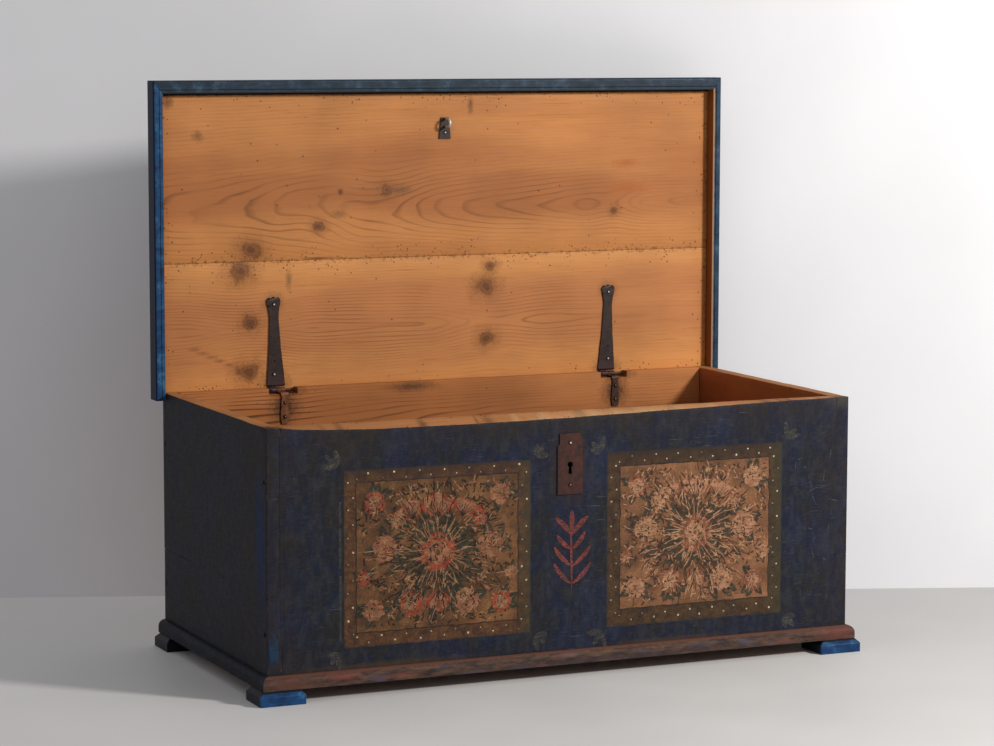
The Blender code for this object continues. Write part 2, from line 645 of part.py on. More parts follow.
def lid_staple():
    """Tapered plate under the lid with a round eye that drops into the lock."""
    high = LID_UNDERSIDE - FIT
    front_y = FRONT_Y + STAPLE_EDGE
    rear_y = front_y + STAPLE_LENGTH
    plan = [(-STAPLE_FRONT_WIDTH / 2, front_y), (STAPLE_FRONT_WIDTH / 2, front_y),
            (STAPLE_REAR_WIDTH / 2, rear_y), (-STAPLE_REAR_WIDTH / 2, rear_y)]
    made = piece("lid_staple", extruded(plan, "Z", high - STAPLE_THICKNESS, high), DARK_IRON, lid)
    bend = (EYE_Y, LID_UNDERSIDE - EYE_DROP + EYE_ROD + EYE_SPAN / 2)
    leg_top = high - STAPLE_THICKNESS / 2
    route = [(EYE_Y + EYE_SPAN / 2, leg_top)]
    route += arc(bend, EYE_SPAN / 2, 0, -180, 2 * QUARTER_STEPS)
    route += [(EYE_Y - EYE_SPAN / 2, leg_top)]
    wire = bpy.data.curves.new("eye", "CURVE")
    wire.dimensions = "3D"
    wire.bevel_depth = EYE_ROD
    wire.bevel_resolution = 1
    wire.use_fill_caps = True
    line = wire.splines.new("POLY")
    line.points.add(len(route) - 1)
    for point, (along, up) in zip(line.points, route):
        point.co = (0, along, up, 1)
    change(made, welded(bpy.data.objects.new("eye", wire)), "UNION")
    drive_nail("lid_staple_nail", (0, rear_y - STAPLE_NAIL, high - STAPLE_THICKNESS), (0, 0, 1),
               STAPLE_THICKNESS, made, lid_front, lid)


lid_staple()


def keyhole(front_y, rear_y):
    """Keyhole: a round for the key's pipe over a slot for its bit, a little wider at the foot."""
    half = KEYHOLE_SLOT / 2
    corner = math.degrees(math.asin(half / KEYHOLE_RADIUS))
    outline = arc((0, KEY_Z), KEYHOLE_RADIUS, -90 + corner, 270 - corner, 4 * QUARTER_STEPS)
    outline += [(-KEYHOLE_FLARE / 2, KEY_Z - KEYHOLE_DROP), (KEYHOLE_FLARE / 2, KEY_Z - KEYHOLE_DROP)]
    return extruded(outline, "Y", front_y, rear_y)


def key_plate():
    """Iron key plate, with one top corner worn away and a nick in the edge across from it."""
    half = KEY_PLATE_WIDTH / 2
    high = RIM_HEIGHT - KEY_PLATE_BELOW_RIM
    low = high - KEY_PLATE_HEIGHT
    nick_end = high - KEY_PLATE_NICK_LENGTH
    outline = [(-half, low), (half, low), (half, high - KEY_PLATE_CORNER),
               (half - KEY_PLATE_CORNER / 2, high), (-half + KEY_PLATE_NICK, high),
               (-half + KEY_PLATE_NICK, nick_end), (-half, nick_end - KEY_PLATE_NICK)]
    rear = FRONT_Y - FIT
    made = piece("key_plate", extruded(outline, "Y", rear - KEY_PLATE_THICKNESS, rear),
                 RUSTY_IRON, chest)
    ends = FRONT_Y - WALL, FRONT_INNER_Y + WALL
    change(made, keyhole(*ends))
    change(front, keyhole(*ends))
    for word, up in (("upper", high - KEY_PLATE_NAIL_INSET), ("lower", low + KEY_PLATE_NAIL_INSET)):
        drive_nail("key_plate_nail_" + word, (0, rear - KEY_PLATE_THICKNESS, up), (0, 1, 0),
                   KEY_PLATE_THICKNESS, made, front, chest)


key_plate()

nose = -(EYE_ROD + BOLT_NOSE_CLEARANCE)
column_right = nose - BOLT_THROW
column_left = column_right - BOLT_COLUMN
tail = -(LOCK_WIDTH / 2 + BOLT_NOSE_CLEARANCE + BOLT_THROW)
shoe_right = KEEPER_PLACE + KEEPER_WIDTH + BOLT_NOSE_CLEARANCE


def lock_case():
    """Sheet-iron box behind the front board, open to the board, with an ear to nail at each end."""
    half = LOCK_WIDTH / 2
    ear = half + LOCK_EAR
    ear_y = LOCK_FRONT_Y + LOCK_SHEET
    plan = [(-ear, LOCK_FRONT_Y), (ear, LOCK_FRONT_Y), (ear, ear_y), (half, ear_y),
            (half, LOCK_REAR_Y), (-half, LOCK_REAR_Y), (-half, ear_y), (-ear, ear_y)]
    made = piece("lock_case", extruded(plan, "Z", LOCK_FOOT, LOCK_TOP), DARK_IRON, chest)
    hollow = box((-half + LOCK_SHEET, LOCK_FRONT_Y - WALL / 2, LOCK_FOOT + LOCK_SHEET),
                 (half - LOCK_SHEET, LOCK_INNER_REAR_Y, LOCK_TOP - LOCK_SHEET))
    change(made, mesh_of(hollow))
    mouth_x = EYE_ROD + EYE_CLEARANCE
    mouth_y = EYE_SPAN / 2 + EYE_ROD + EYE_CLEARANCE - FIT
    mouth = box((-mouth_x, EYE_Y - mouth_y, LOCK_TOP - 2 * LOCK_SHEET),
                (mouth_x, EYE_Y + mouth_y, LOCK_TOP + LOCK_SHEET))
    change(made, mesh_of(mouth))
    bolt_half = BOLT_THICKNESS / 2 + FIT
    tail_slot = box((-half - LOCK_SHEET, EYE_Y - bolt_half, BAR_LOW - FIT),
                    (-half + 2 * LOCK_SHEET, EYE_Y + bolt_half, BAR_HIGH + FIT))
    change(made, mesh_of(tail_slot))
    for word, side in (("left", -1), ("right", 1)):
        for level, up in (("upper", LOCK_TOP - LOCK_EAR_NAIL), ("lower", LOCK_FOOT + LOCK_EAR_NAIL)):
            drive_nail("lock_nail_{}_{}".format(word, level), (side * (half + LOCK_EAR / 2), ear_y, up),
                       (0, -1, 0), LOCK_SHEET, made, front, chest)


def lock_bolt():
    """Sliding bolt: a bar that shoots through the eye, on a column over the shoe that the key moves."""
    talon_left = -(BOLT_THROW + BOLT_TALON) / 2
    talon_high = SHOE_LOW + BOLT_TALON_DEPTH
    outline = [(tail, BAR_LOW), (column_left, BAR_LOW), (column_left, SHOE_LOW), (talon_left, SHOE_LOW),
               (talon_left, talon_high), (talon_left + BOLT_TALON, talon_high),
               (talon_left + BOLT_TALON, SHOE_LOW), (shoe_right, SHOE_LOW), (shoe_right, SHOE_HIGH),
               (column_right, SHOE_HIGH), (column_right, BAR_LOW), (nose, BAR_LOW), (nose, BAR_HIGH),
               (tail, BAR_HIGH)]
    half = BOLT_THICKNESS / 2
    piece("lock_bolt", extruded(outline, "Y", EYE_Y - half, EYE_Y + half), DARK_IRON, bolt_body)


def bolt_keeper():
    """Iron loop on the back of the case that the bolt's shoe slides in."""
    half = BOLT_THICKNESS / 2 + FIT
    made = piece("bolt_keeper", mesh_of(box(
        (KEEPER_PLACE, EYE_Y - half - KEEPER_SHEET, SHOE_LOW - FIT - KEEPER_SHEET),
        (KEEPER_PLACE + KEEPER_WIDTH, LOCK_INNER_REAR_Y - FIT, SHOE_HIGH + FIT + KEEPER_SHEET))),
        DARK_IRON, chest)
    change(made, mesh_of(box((KEEPER_PLACE - KEEPER_WIDTH, EYE_Y - half, SHOE_LOW - FIT),
                             (KEEPER_PLACE + 2 * KEEPER_WIDTH, EYE_Y + half, SHOE_HIGH + FIT))))


def lock_spring():
    """Flat spring from the end of the case that holds the bolt's shoe down."""
    root = LOCK_WIDTH / 2 - LOCK_SHEET - FIT
    tip = shoe_right + BOLT_NOSE_CLEARANCE
    low = SHOE_HIGH + SPRING_GAP
    high = low + SPRING_RISE
    outline = [(tip, low), (root, high), (root, high + SPRING_SHEET), (tip, low + SPRING_SHEET)]
    piece("lock_spring", extruded(outline, "Y", EYE_Y - SPRING_WIDTH / 2, EYE_Y + SPRING_WIDTH / 2),
          DARK_IRON, chest)


lock_case()
lock_bolt()
bolt_keeper()
lock_spring()
piece("key_post", rod((0, LOCK_INNER_REAR_Y - FIT, KEY_Z), (0, -1, 0), KEY_POST_RADIUS,
                      KEY_POST_LENGTH), DARK_IRON, chest)

for bored, shape in holes.items():
    change(bored, mesh_of(shape))
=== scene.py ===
"""Looks of the painted wedding trunk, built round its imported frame.

Metres, +Z up, +X along the front and +Y to the back, as in the frame. The lid stands open.
"""
import math
import random

import bmesh
import bpy
from mathutils import Matrix, Vector, noise


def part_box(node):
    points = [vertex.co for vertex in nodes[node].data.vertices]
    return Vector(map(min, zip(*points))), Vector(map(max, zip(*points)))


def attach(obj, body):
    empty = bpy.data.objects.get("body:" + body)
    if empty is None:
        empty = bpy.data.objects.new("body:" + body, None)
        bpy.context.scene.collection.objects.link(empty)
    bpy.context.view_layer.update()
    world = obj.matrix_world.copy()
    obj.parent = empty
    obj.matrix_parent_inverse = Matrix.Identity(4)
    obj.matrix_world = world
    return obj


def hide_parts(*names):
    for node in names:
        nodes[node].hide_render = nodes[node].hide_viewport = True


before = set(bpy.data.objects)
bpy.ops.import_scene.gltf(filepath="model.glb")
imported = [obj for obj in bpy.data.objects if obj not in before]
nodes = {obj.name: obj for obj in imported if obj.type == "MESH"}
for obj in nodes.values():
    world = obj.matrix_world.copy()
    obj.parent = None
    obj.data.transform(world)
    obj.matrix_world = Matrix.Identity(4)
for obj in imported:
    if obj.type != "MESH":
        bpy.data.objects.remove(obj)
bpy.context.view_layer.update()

# Bottom boards: two pine boards that the walls stand on, sawn and never painted. Dust and age have
# browned them, and they have kept the saw's dull surface.

MM = 0.001
STAIN_DEPTH = 30 * MM
STAIN_SHARE = 0.75


def linear(value):
    """Linear colour of an sRGB hex value."""
    channels = [(value >> shift & 255) / 255 for shift in (16, 8, 0)]
    return (*[c / 12.92 if c <= 0.04045 else ((c + 0.055) / 1.055) ** 2.4 for c in channels], 1.0)


def add(tree, kind, inputs=None, stops=(), **settings):
    """Add one shader node with its settings, its colour stops, and a value or a link for each input."""
    made = tree.nodes.new("ShaderNode" + kind)
    for name, value in settings.items():
        setattr(made, name, value)
    for at, (position, value) in enumerate(stops):
        ramp = made.color_ramp.elements
        stop = ramp[at] if at < 2 else ramp.new(position)
        stop.position = position
        stop.color = linear(value)
    for name, value in (inputs or {}).items():
        if isinstance(value, bpy.types.Node):
            value = value.outputs[0]
        if isinstance(value, bpy.types.NodeSocket):
            tree.links.new(value, made.inputs[name])
        else:
            made.inputs[name].default_value = value
    return made


def start_finish(name, specular, metallic=0.0):
    """A new finish, with the values that are the same all over it."""
    made = bpy.data.materials.new(name)
    made.use_nodes = True
    shader = made.node_tree.nodes["Principled BSDF"]
    shader.inputs["Specular IOR Level"].default_value = specular
    shader.inputs["Metallic"].default_value = metallic
    place = add(made.node_tree, "TexCoord").outputs["Object"]
    return made, made.node_tree, shader, place


def end_finish(tree, shader, colour, pattern, rough, depth):
    """Join up a finish: its colour, and a pattern that raises it and makes it duller or smoother."""
    dull = add(tree, "MapRange", {"Value": pattern, "From Min": 0.3, "From Max": 0.7,
                                  "To Min": rough[0], "To Max": rough[1]})
    bump = add(tree, "Bump", {"Height": pattern, "Distance": depth, "Strength": 0.6})
    tree.links.new(colour.outputs[0], shader.inputs["Base Color"])
    tree.links.new(dull.outputs[0], shader.inputs["Roughness"])
    tree.links.new(bump.outputs[0], shader.inputs["Normal"])


def marks(*sizes):
    """Scale of a pattern whose marks have these sizes in mm along the three axes."""
    return [1 / (size * MM) for size in sizes]


def tint(tree, colour, pattern, start, end, share, tone):
    """Lay another tone over a colour, more and more as a pattern goes from one value to another."""
    fade = add(tree, "MapRange", {"Value": pattern, "From Min": start, "From Max": end,
                                  "To Min": 0.0, "To Max": share})
    tone = linear(tone) if isinstance(tone, int) else tone
    return add(tree, "MixRGB", {"Fac": fade, "Color1": colour, "Color2": tone})


def stain(tree, place, broken, colour, spot, tone):
    """A soft ragged blot on a finish, at a place and with a width and a height."""
    x, y, z, wide, high = spot
    near = add(tree, "Mapping", {"Vector": place, "Location": (x, y, z),
                                 "Scale": (wide, STAIN_DEPTH, high)}, vector_type="TEXTURE")
    away = add(tree, "VectorMath", {0: near}, operation="LENGTH").outputs["Value"]
    ragged = add(tree, "Math", {0: broken, 1: 1.2, 2: away}, operation="MULTIPLY_ADD")
    return tint(tree, colour, ragged, 1.7, 0.7, STAIN_SHARE, tone)


def pine(name, pale, deep, heart, lean, ring, marked, knots=(), stains=(), turn=0.0, redder=0.0,
         calm=None):
    """Old bare pine, planed by hand. Growth rings round a heart line that leans through the board give
    long arches near it and straight lines beside it, and the wood is reddest a little above it. Knots
    in cracked wood, clusters of worm holes along the edges, and dirt. Calm gives two places along the
    board between which the rings fade. Rings and fibres are drawn coarser than real ones, to show."""
    made, tree, shader, place = start_finish(name, 0.25)
    if turn:
        place = add(tree, "Mapping", {"Vector": place, "Rotation": (0, 0, turn)}).outputs[0]
    across = add(tree, "Mapping", {"Vector": place, "Location": heart, "Rotation": lean},
                 vector_type="TEXTURE")
    height = add(tree, "SeparateXYZ", {"Vector": across}).outputs["Z"]
    beside = add(tree, "Math", {0: height}, operation="ABSOLUTE")
    above = add(tree, "Math", {0: height, 1: redder}, operation="SUBTRACT")
    above = add(tree, "Math", {0: above}, operation="ABSOLUTE")
    across = add(tree, "VectorMath", {0: across, 1: (0, 1, 1)}, operation="MULTIPLY")
    radius = add(tree, "VectorMath", {0: across}, operation="LENGTH").outputs["Value"]
    wander = add(tree, "TexNoise", {"Vector": add(tree, "Mapping", {
        "Vector": place, "Scale": marks(260, 50, 50)}), "Scale": 1.0, "Detail": 2.0, "Roughness": 0.45})
    radius = add(tree, "Math", {0: wander, 1: 2.6 * ring, 2: radius}, operation="MULTIPLY_ADD")
    broken = add(tree, "TexNoise", {"Vector": place, "Scale": 1 / (7 * MM),
                                    "Detail": 4.0, "Roughness": 0.65})
    crumb = add(tree, "TexNoise", {"Vector": place, "Scale": 1 / (2.8 * MM), "Detail": 3.0})
    swell = add(tree, "TexNoise", {"Vector": place, "Scale": 1 / (22 * MM), "Detail": 2.5})
    cores = []
    for x, y, z, size in knots:
        spot = add(tree, "Mapping", {"Vector": place, "Location": (x, y, z),
                                     "Scale": (1.2 * size, 1.0, size)}, vector_type="TEXTURE")
        away = add(tree, "VectorMath", {0: spot}, operation="LENGTH").outputs["Value"]
        push = add(tree, "MapRange", {"Value": away, "From Min": 0.0, "From Max": 6.0,
                                      "To Min": 1.4 * ring, "To Max": 0.0},
                   interpolation_type="SMOOTHERSTEP")
        radius = add(tree, "Math", {0: radius, 1: push}, operation="ADD")
        cores.append(add(tree, "Math", {0: swell, 1: away}, operation="ADD"))
    rings = add(tree, "Math", {0: radius, 1: ring}, operation="DIVIDE")
    phase = add(tree, "Math", {0: rings}, operation="FRACT")
    line = add(tree, "ValToRGB", {"Fac": phase}, stops=(
        (0.0, 0x000000), (0.66, 0x000000), (0.88, 0xFFFFFF), (0.93, 0xFFFFFF), (1.0, 0x000000)))
    band = add(tree, "TexNoise", {"Vector": add(tree, "Mapping", {
        "Vector": place, "Scale": marks(520, 75, 75)}), "Scale": 1.0, "Detail": 4.0})
    band = add(tree, "MapRange", {"Value": band, "From Min": 0.36, "From Max": 0.64,
                                  "To Min": -0.35, "To Max": 0.35})
    red = add(tree, "MapRange", {"Value": above, "From Min": 45 * MM, "From Max": 110 * MM,
                                 "To Min": 0.85, "To Max": 0.1})
    red = add(tree, "Math", {0: red, 1: band}, operation="ADD", use_clamp=True)
    colour = add(tree, "MixRGB", {"Fac": red, "Color1": linear(pale), "Color2": linear(deep)})
    seen = add(tree, "TexNoise", {"Vector": place, "Scale": 1 / (130 * MM), "Detail": 2.0})
    seen = add(tree, "MapRange", {"Value": seen, "From Min": 0.38, "From Max": 0.62,
                                  "To Min": 0.2 * marked, "To Max": marked})
    if calm:
        along = add(tree, "SeparateXYZ", {"Vector": place}).outputs["X"]
        fade = add(tree, "MapRange", {"Value": along, "From Min": calm[0], "From Max": calm[1],
                                      "To Min": 1.0, "To Max": 0.22})
        seen = add(tree, "Math", {0: seen, 1: fade}, operation="MULTIPLY")
    near = add(tree, "MapRange", {"Value": beside, "From Min": 35 * MM, "From Max": 90 * MM,
                                  "To Min": 1.0, "To Max": 0.3})
    mark = add(tree, "Math", {0: line, 1: seen}, operation="MULTIPLY")
    mark = add(tree, "Math", {0: mark, 1: near}, operation="MULTIPLY")
    colour = add(tree, "MixRGB", {"Fac": mark, "Color1": colour, "Color2": linear(0x643818)})
    fibre = add(tree, "TexNoise", {"Vector": add(tree, "Mapping", {
        "Vector": place, "Scale": marks(110, 2.4, 2.4)}), "Scale": 1.0, "Detail": 5.0, "Roughness": 0.6})
    colour = tint(tree, colour, fibre, 0.54, 0.72, 0.45, 0x7A4624)
    cloud = add(tree, "TexNoise", {"Vector": place, "Scale": 1 / (150 * MM), "Detail": 6.0})
    tone = add(tree, "Math", {0: fibre, 1: cloud}, operation="ADD")
    tone = add(tree, "MapRange", {"Value": tone, "From Min": 0.7, "From Max": 1.3,
                                  "To Min": 0.84, "To Max": 1.16})
    colour = add(tree, "MixRGB", {"Fac": 1.0, "Color1": colour, "Color2": tone}, blend_type="MULTIPLY")
    cracked = add(tree, "MapRange", {"Value": crumb, "From Min": 0.54, "From Max": 0.64})
    for core in cores:
        halo = add(tree, "MapRange", {"Value": core, "From Min": 1.0, "From Max": 2.1,
                                      "To Min": 0.5, "To Max": 0.0})
        colour = add(tree, "MixRGB", {"Fac": halo, "Color1": colour, "Color2": linear(0x90592C)})
        crack = add(tree, "Math", {0: halo, 1: cracked}, operation="MULTIPLY")
        colour = add(tree, "MixRGB", {"Fac": crack, "Color1": colour, "Color2": linear(0x4E2A12)})
        rings = add(tree, "Math", {0: core, 1: 0.17}, operation="PINGPONG")
        knot = tint(tree, linear(0x603819), rings, 0.02, 0.14, 1.0, 0x7E4E29)
        colour = tint(tree, colour, core, 1.32, 0.90, 0.82, knot)
        colour = tint(tree, colour, core, 0.80, 0.40, 0.6, 0x3E2210)
    for *spot, value in stains:
        colour = stain(tree, place, broken, colour, spot, value)
    edge = add(tree, "Attribute", attribute_name="edge_wear").outputs["Fac"]
    worm = add(tree, "TexVoronoi", {"Vector": place, "Scale": 1 / (6.5 * MM), "Randomness": 1.0})
    hole = add(tree, "Math", {0: crumb, 1: 0.5, 2: worm.outputs["Distance"]}, operation="MULTIPLY_ADD")
    hole = add(tree, "MapRange", {"Value": hole, "From Min": 0.40, "From Max": 0.58,
                                  "To Min": 0.85, "To Max": 0.0})
    chance = add(tree, "SeparateColor", {"Color": worm.outputs["Color"]})
    swarm = add(tree, "TexNoise", {"Vector": place, "Scale": 1 / (42 * MM), "Detail": 2.0})
    swarm = add(tree, "MapRange", {"Value": swarm, "From Min": 0.44, "From Max": 0.62})
    eaten = add(tree, "Math", {0: swarm, 1: edge, 2: 0.010}, operation="MULTIPLY_ADD")
    eaten = add(tree, "Math", {0: eaten, 1: chance.outputs[0]}, operation="ADD")
    eaten = add(tree, "Math", {0: eaten, 1: 1.0}, operation="GREATER_THAN")
    hole = add(tree, "Math", {0: hole, 1: eaten}, operation="MULTIPLY")
    colour = add(tree, "MixRGB", {"Fac": hole, "Color1": colour, "Color2": linear(0x4A2C18)})
    grime = add(tree, "Math", {0: broken, 1: edge}, operation="MULTIPLY")
    colour = tint(tree, colour, grime, 0.44, 0.62, 0.55, 0x4A301C)
    end_finish(tree, shader, colour, fibre, (0.5, 0.72), 0.25 * MM)
    return made


def dress(surface, *names):
    """Give CAD pieces a finish."""
    for name in names:
        nodes[name].material_slots[0].material = surface


dusty_pine = pine("dusty_bare_pine", 0x7A5030, 0x5C3A22, (0.1, 0.05, 0.3), (0, 0, 0.03), 9 * MM, 0.5)
dress(dusty_pine, "bottom_board_front", "bottom_board_rear")

# Front board: one wide pine board, painted dark blue outside and bare inside. Hands and the lid have
# worn its outer top edge into a long dip, and the paint is thin, scratched and browned.

EDGE_ROUND = 0.9 * MM
WORN_BAND = 9 * MM
CUT_EVERY = 24 * MM
SHARP_EDGE = 1.2
WOOD_SMOOTH = math.radians(50)
FRONT_WEAR = 1.4 * MM
DOWN = Vector((0, 0, -1))
front_low, front_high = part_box("front_board")
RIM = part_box("left_side_board_upper")[1].z
FRONT_Y = front_low.y
INNER_Y = front_high.y


def block(low, high):
    """A box between two corners, to be shaped further."""
    shape = bmesh.new()
    bmesh.ops.create_cube(shape, size=1.0)
    bmesh.ops.scale(shape, vec=high - low, verts=shape.verts)
    bmesh.ops.translate(shape, vec=(low + high) / 2, verts=shape.verts)
    return shape


def finished(name, shape, *surfaces):
    """A new object in the scene, from a finished shape and its finishes."""
    mesh = bpy.data.meshes.new(name)
    shape.to_mesh(mesh)
    shape.free()
    for surface in surfaces:
        mesh.materials.append(surface)
    made = bpy.data.objects.new(name, mesh)
    bpy.context.scene.collection.objects.link(made)
    return made


def plank(name, low, high, surfaces, painted, wear, band=WORN_BAND, back_round=0.0, along=0):
    """A board as a mesh: rounded edges that are worn unevenly, and a worn band along each of them."""
    shape = block(low, high)
    worn = shape.verts.layers.float.new("edge_wear")
    corners = shape.verts[:]
    for face in shape.faces[:]:
        narrow = min(edge.calc_length() for edge in face.edges)
        bmesh.ops.inset_individual(shape, faces=[face], thickness=min(band, 0.35 * narrow),
                                   use_even_offset=True)
    for vertex in corners:
        vertex[worn] = 1.0
    if back_round:
        swung = [e for e in shape.edges
                 if all(v.co.y > high.y - MM and v.co.z > high.z - MM for v in e.verts)]
        bmesh.ops.bevel(shape, geom=swung, offset=back_round, segments=5, profile=0.5,
                        affect="EDGES", material=-1)
    sharp = [e for e in shape.edges if e.is_manifold and e.calc_face_angle() > SHARP_EDGE]
    bmesh.ops.bevel(shape, geom=sharp, offset=EDGE_ROUND, segments=3, profile=0.5, affect="EDGES",
                    material=-1)
    run = Vector([float(axis == along) for axis in range(3)])
    for cut_at in range(1, int((high[along] - low[along]) / CUT_EVERY)):
        bmesh.ops.bisect_plane(shape, geom=shape.verts[:] + shape.edges[:] + shape.faces[:],
                               plane_co=low + run * cut_at * CUT_EVERY, plane_no=run)
    shape.normal_update()
    for vertex in shape.verts:
        if vertex[worn] > 0.9:
            rub = noise.noise(vertex.co / (60 * MM)) + 0.6 * noise.noise(vertex.co / (17 * MM))
            vertex.co -= vertex.normal * wear * max(rub, 0.0)
    for face in shape.faces:
        bare = 2 if len(surfaces) > 2 and face.normal.z > 0.7 else 1
        face.material_index = 0 if any(face.normal.dot(way) > 0.2 for way in painted) else bare
        face.smooth = True
    made = finished(name, shape, *surfaces)
    made.data.set_sharp_from_angle(angle=WOOD_SMOOTH)
    return made


def navy_coat(tree, place):
    """Colour of the old dark-blue coat: blue where it is thick, brown-grey where it is rubbed thin,
    with fine scratches along the board, brush marks down it, pale flecks, and deeper scratches in
    places. Brush marks and scratches are drawn coarser than real ones, to show."""
    cloud = add(tree, "TexNoise", {"Vector": add(tree, "Mapping", {
        "Vector": place, "Scale": marks(80, 80, 120)}), "Scale": 1.0, "Detail": 10.0, "Roughness": 0.78})
    colour = add(tree, "ValToRGB", {"Fac": cloud}, stops=(
        (0.31, 0x2B2620), (0.42, 0x242427), (0.52, 0x1D2130), (0.66, 0x252C42)))
    brush = add(tree, "TexNoise", {"Vector": add(tree, "Mapping", {
        "Vector": place, "Scale": marks(15, 15, 2.2)}), "Scale": 1.0, "Detail": 6.0, "Roughness": 0.75})
    colour = tint(tree, colour, brush, 0.54, 0.72, 0.42, 0x4E4D49)
    down = add(tree, "TexNoise", {"Vector": add(tree, "Mapping", {
        "Vector": place, "Scale": marks(7, 7, 32)}), "Scale": 1.0, "Detail": 5.0, "Roughness": 0.7})
    colour = tint(tree, colour, down, 0.50, 0.74, 0.45, 0x3C332A)
    haze = add(tree, "TexNoise", {"Vector": add(tree, "Mapping", {
        "Vector": place, "Scale": marks(13, 13, 24)}), "Scale": 1.0, "Detail": 4.0, "Roughness": 0.6})
    colour = tint(tree, colour, haze, 0.47, 0.70, 0.55, 0x35373C)
    dust = add(tree, "TexNoise", {"Vector": place, "Scale": 1 / (4.5 * MM),
                                  "Detail": 6.0, "Roughness": 0.75})
    colour = tint(tree, colour, dust, 0.62, 0.74, 0.55, 0x6C6B63)
    scar = add(tree, "TexNoise", {"Vector": add(tree, "Mapping", {
        "Vector": place, "Rotation": (0, 0.12, 0), "Scale": marks(34, 34, 1.1)}),
        "Scale": 1.0, "Detail": 2.0})
    scar = add(tree, "MapRange", {"Value": scar, "From Min": 0.68, "From Max": 0.74,
                                  "To Min": 0.0, "To Max": 0.5})
    struck = add(tree, "TexNoise", {"Vector": place, "Scale": 1 / (95 * MM), "Detail": 3.0})
    struck = add(tree, "MapRange", {"Value": struck, "From Min": 0.52, "From Max": 0.64})
    scar = add(tree, "Math", {0: scar, 1: struck}, operation="MULTIPLY")
    colour = add(tree, "MixRGB", {"Fac": scar, "Color1": colour, "Color2": linear(0x80817E)})
    return colour, brush


def navy_paint(name, browned, ends, stains=(), aged_and_shade_tone=0x332A22):
    """Dark-blue oil paint on pine, dull with age. It has browned above a height and towards the ends,
    where hands reach it, and it is worn to the wood along the edges. With a near-black tone, the same
    mask paints shade instead of browning."""
    made, tree, shader, place = start_finish(name, 0.07)
    colour, brush = navy_coat(tree, place)
    edge = add(tree, "Attribute", attribute_name="edge_wear").outputs["Fac"]
    chip = add(tree, "TexNoise", {"Vector": place, "Scale": 1 / (12 * MM),
                                  "Detail": 7.0, "Roughness": 0.7})
    at = add(tree, "SeparateXYZ", {"Vector": place})
    old = add(tree, "MapRange", {"Value": at.outputs["Z"], "From Min": browned[0], "From Max": browned[1],
                                 "To Min": 0.0, "To Max": 0.5})
    far = add(tree, "Math", {0: at.outputs["X"]}, operation="ABSOLUTE")
    far = add(tree, "MapRange", {"Value": far, "From Min": ends[0], "From Max": ends[1],
                                 "To Min": 0.0, "To Max": 0.6})
    old = add(tree, "Math", {0: old, 1: far}, operation="MAXIMUM")
    patchy = add(tree, "MapRange", {"Value": chip, "From Min": 0.35, "From Max": 0.6})
    old = add(tree, "Math", {0: old, 1: patchy}, operation="MULTIPLY")
    colour = add(tree, "MixRGB", {"Fac": old, "Color1": colour, "Color2": linear(aged_and_shade_tone)})
    for *spot, value in stains:
        colour = stain(tree, place, chip, colour, spot, value)
    bare = add(tree, "Math", {0: chip, 1: edge}, operation="MULTIPLY")
    colour = tint(tree, colour, bare, 0.47, 0.60, 0.8, 0x5A452F)
    end_finish(tree, shader, colour, brush, (0.4, 0.65), 0.3 * MM)
    return made


BLOTS = 26
RIGHT_BLOTS = 14
rng = random.Random(17)
blots = [(rng.uniform(-0.15 if blot < RIGHT_BLOTS else -0.54, 0.54), FRONT_Y + 5 * MM, RIM - 6 * MM,
          rng.uniform(4, 17) * MM, 50 * MM,
          rng.choice((0x5A381E, 0x704628, 0xBA8E64 if blot < RIGHT_BLOTS else 0x8A5630)))
         for blot in range(BLOTS)]
rubs = [(0.12, FRONT_Y, RIM, 230 * MM, 70 * MM, 0xC69A70),
        (-0.57, FRONT_Y + 6 * MM, RIM, 40 * MM, 60 * MM, 0x2C2018),
        (-0.57, FRONT_Y + 4 * MM, RIM, 30 * MM, 60 * MM, 0x241C18),
        (0.575, FRONT_Y + 4 * MM, RIM, 40 * MM, 60 * MM, 0x2C2A2A)]
RIM_HEART = (0.2, 0.1, 0.33)
RIM_LEAN = (0, 0.02, 0.04)
inner_pine = pine("bare_pine_inside", 0xB87642, 0x9A5E32, RIM_HEART, RIM_LEAN, 8 * MM, 0.5)
rim_pine = pine("handled_pine_rim", 0xB07646, 0x8E5C36, RIM_HEART, RIM_LEAN, 8 * MM, 0.6,
                stains=blots + rubs)
right_corner_rub = (0.562, FRONT_Y, RIM - 4 * MM, 40 * MM, 20 * MM, 0x45403A)
navy_front = navy_paint("old_navy_paint_front", (0.42, 0.46), (0.50, 0.57), [
    (0.0, FRONT_Y, 0.385, 42 * MM, 74 * MM, 0x3A261B),
    (-0.36, FRONT_Y, 0.052, 200 * MM, 8 * MM, 0x4A3A2C),
    (0.20, FRONT_Y, 0.051, 150 * MM, 7 * MM, 0x4A3A30),
    right_corner_rub])
front = plank("front_board_painted", front_low, Vector((front_high.x, front_high.y, RIM)),
              (navy_front, inner_pine, rim_pine),
              [Vector((0, -1, 0)), Vector((1, 0, 0)), Vector((-1, 0, 0)), DOWN], FRONT_WEAR)

RIM_DIP = 12 * MM
LEFT_FALL = 0.6
RIGHT_FALL = 1.4
worst = LEFT_FALL / (LEFT_FALL + RIGHT_FALL)
deepest = worst ** LEFT_FALL * (1 - worst) ** RIGHT_FALL
for vertex in front.data.vertices:
    if vertex.co.z > RIM - 2 * WORN_BAND:
        way = min(max((vertex.co.x - front_low.x) / (front_high.x - front_low.x), 0.0), 1.0)
        outward = min(max((INNER_Y - vertex.co.y) / (INNER_Y - FRONT_Y), 0.0), 1.0)
        vertex.co.z -= RIM_DIP * outward * way ** LEFT_FALL * (1 - way) ** RIGHT_FALL / deepest


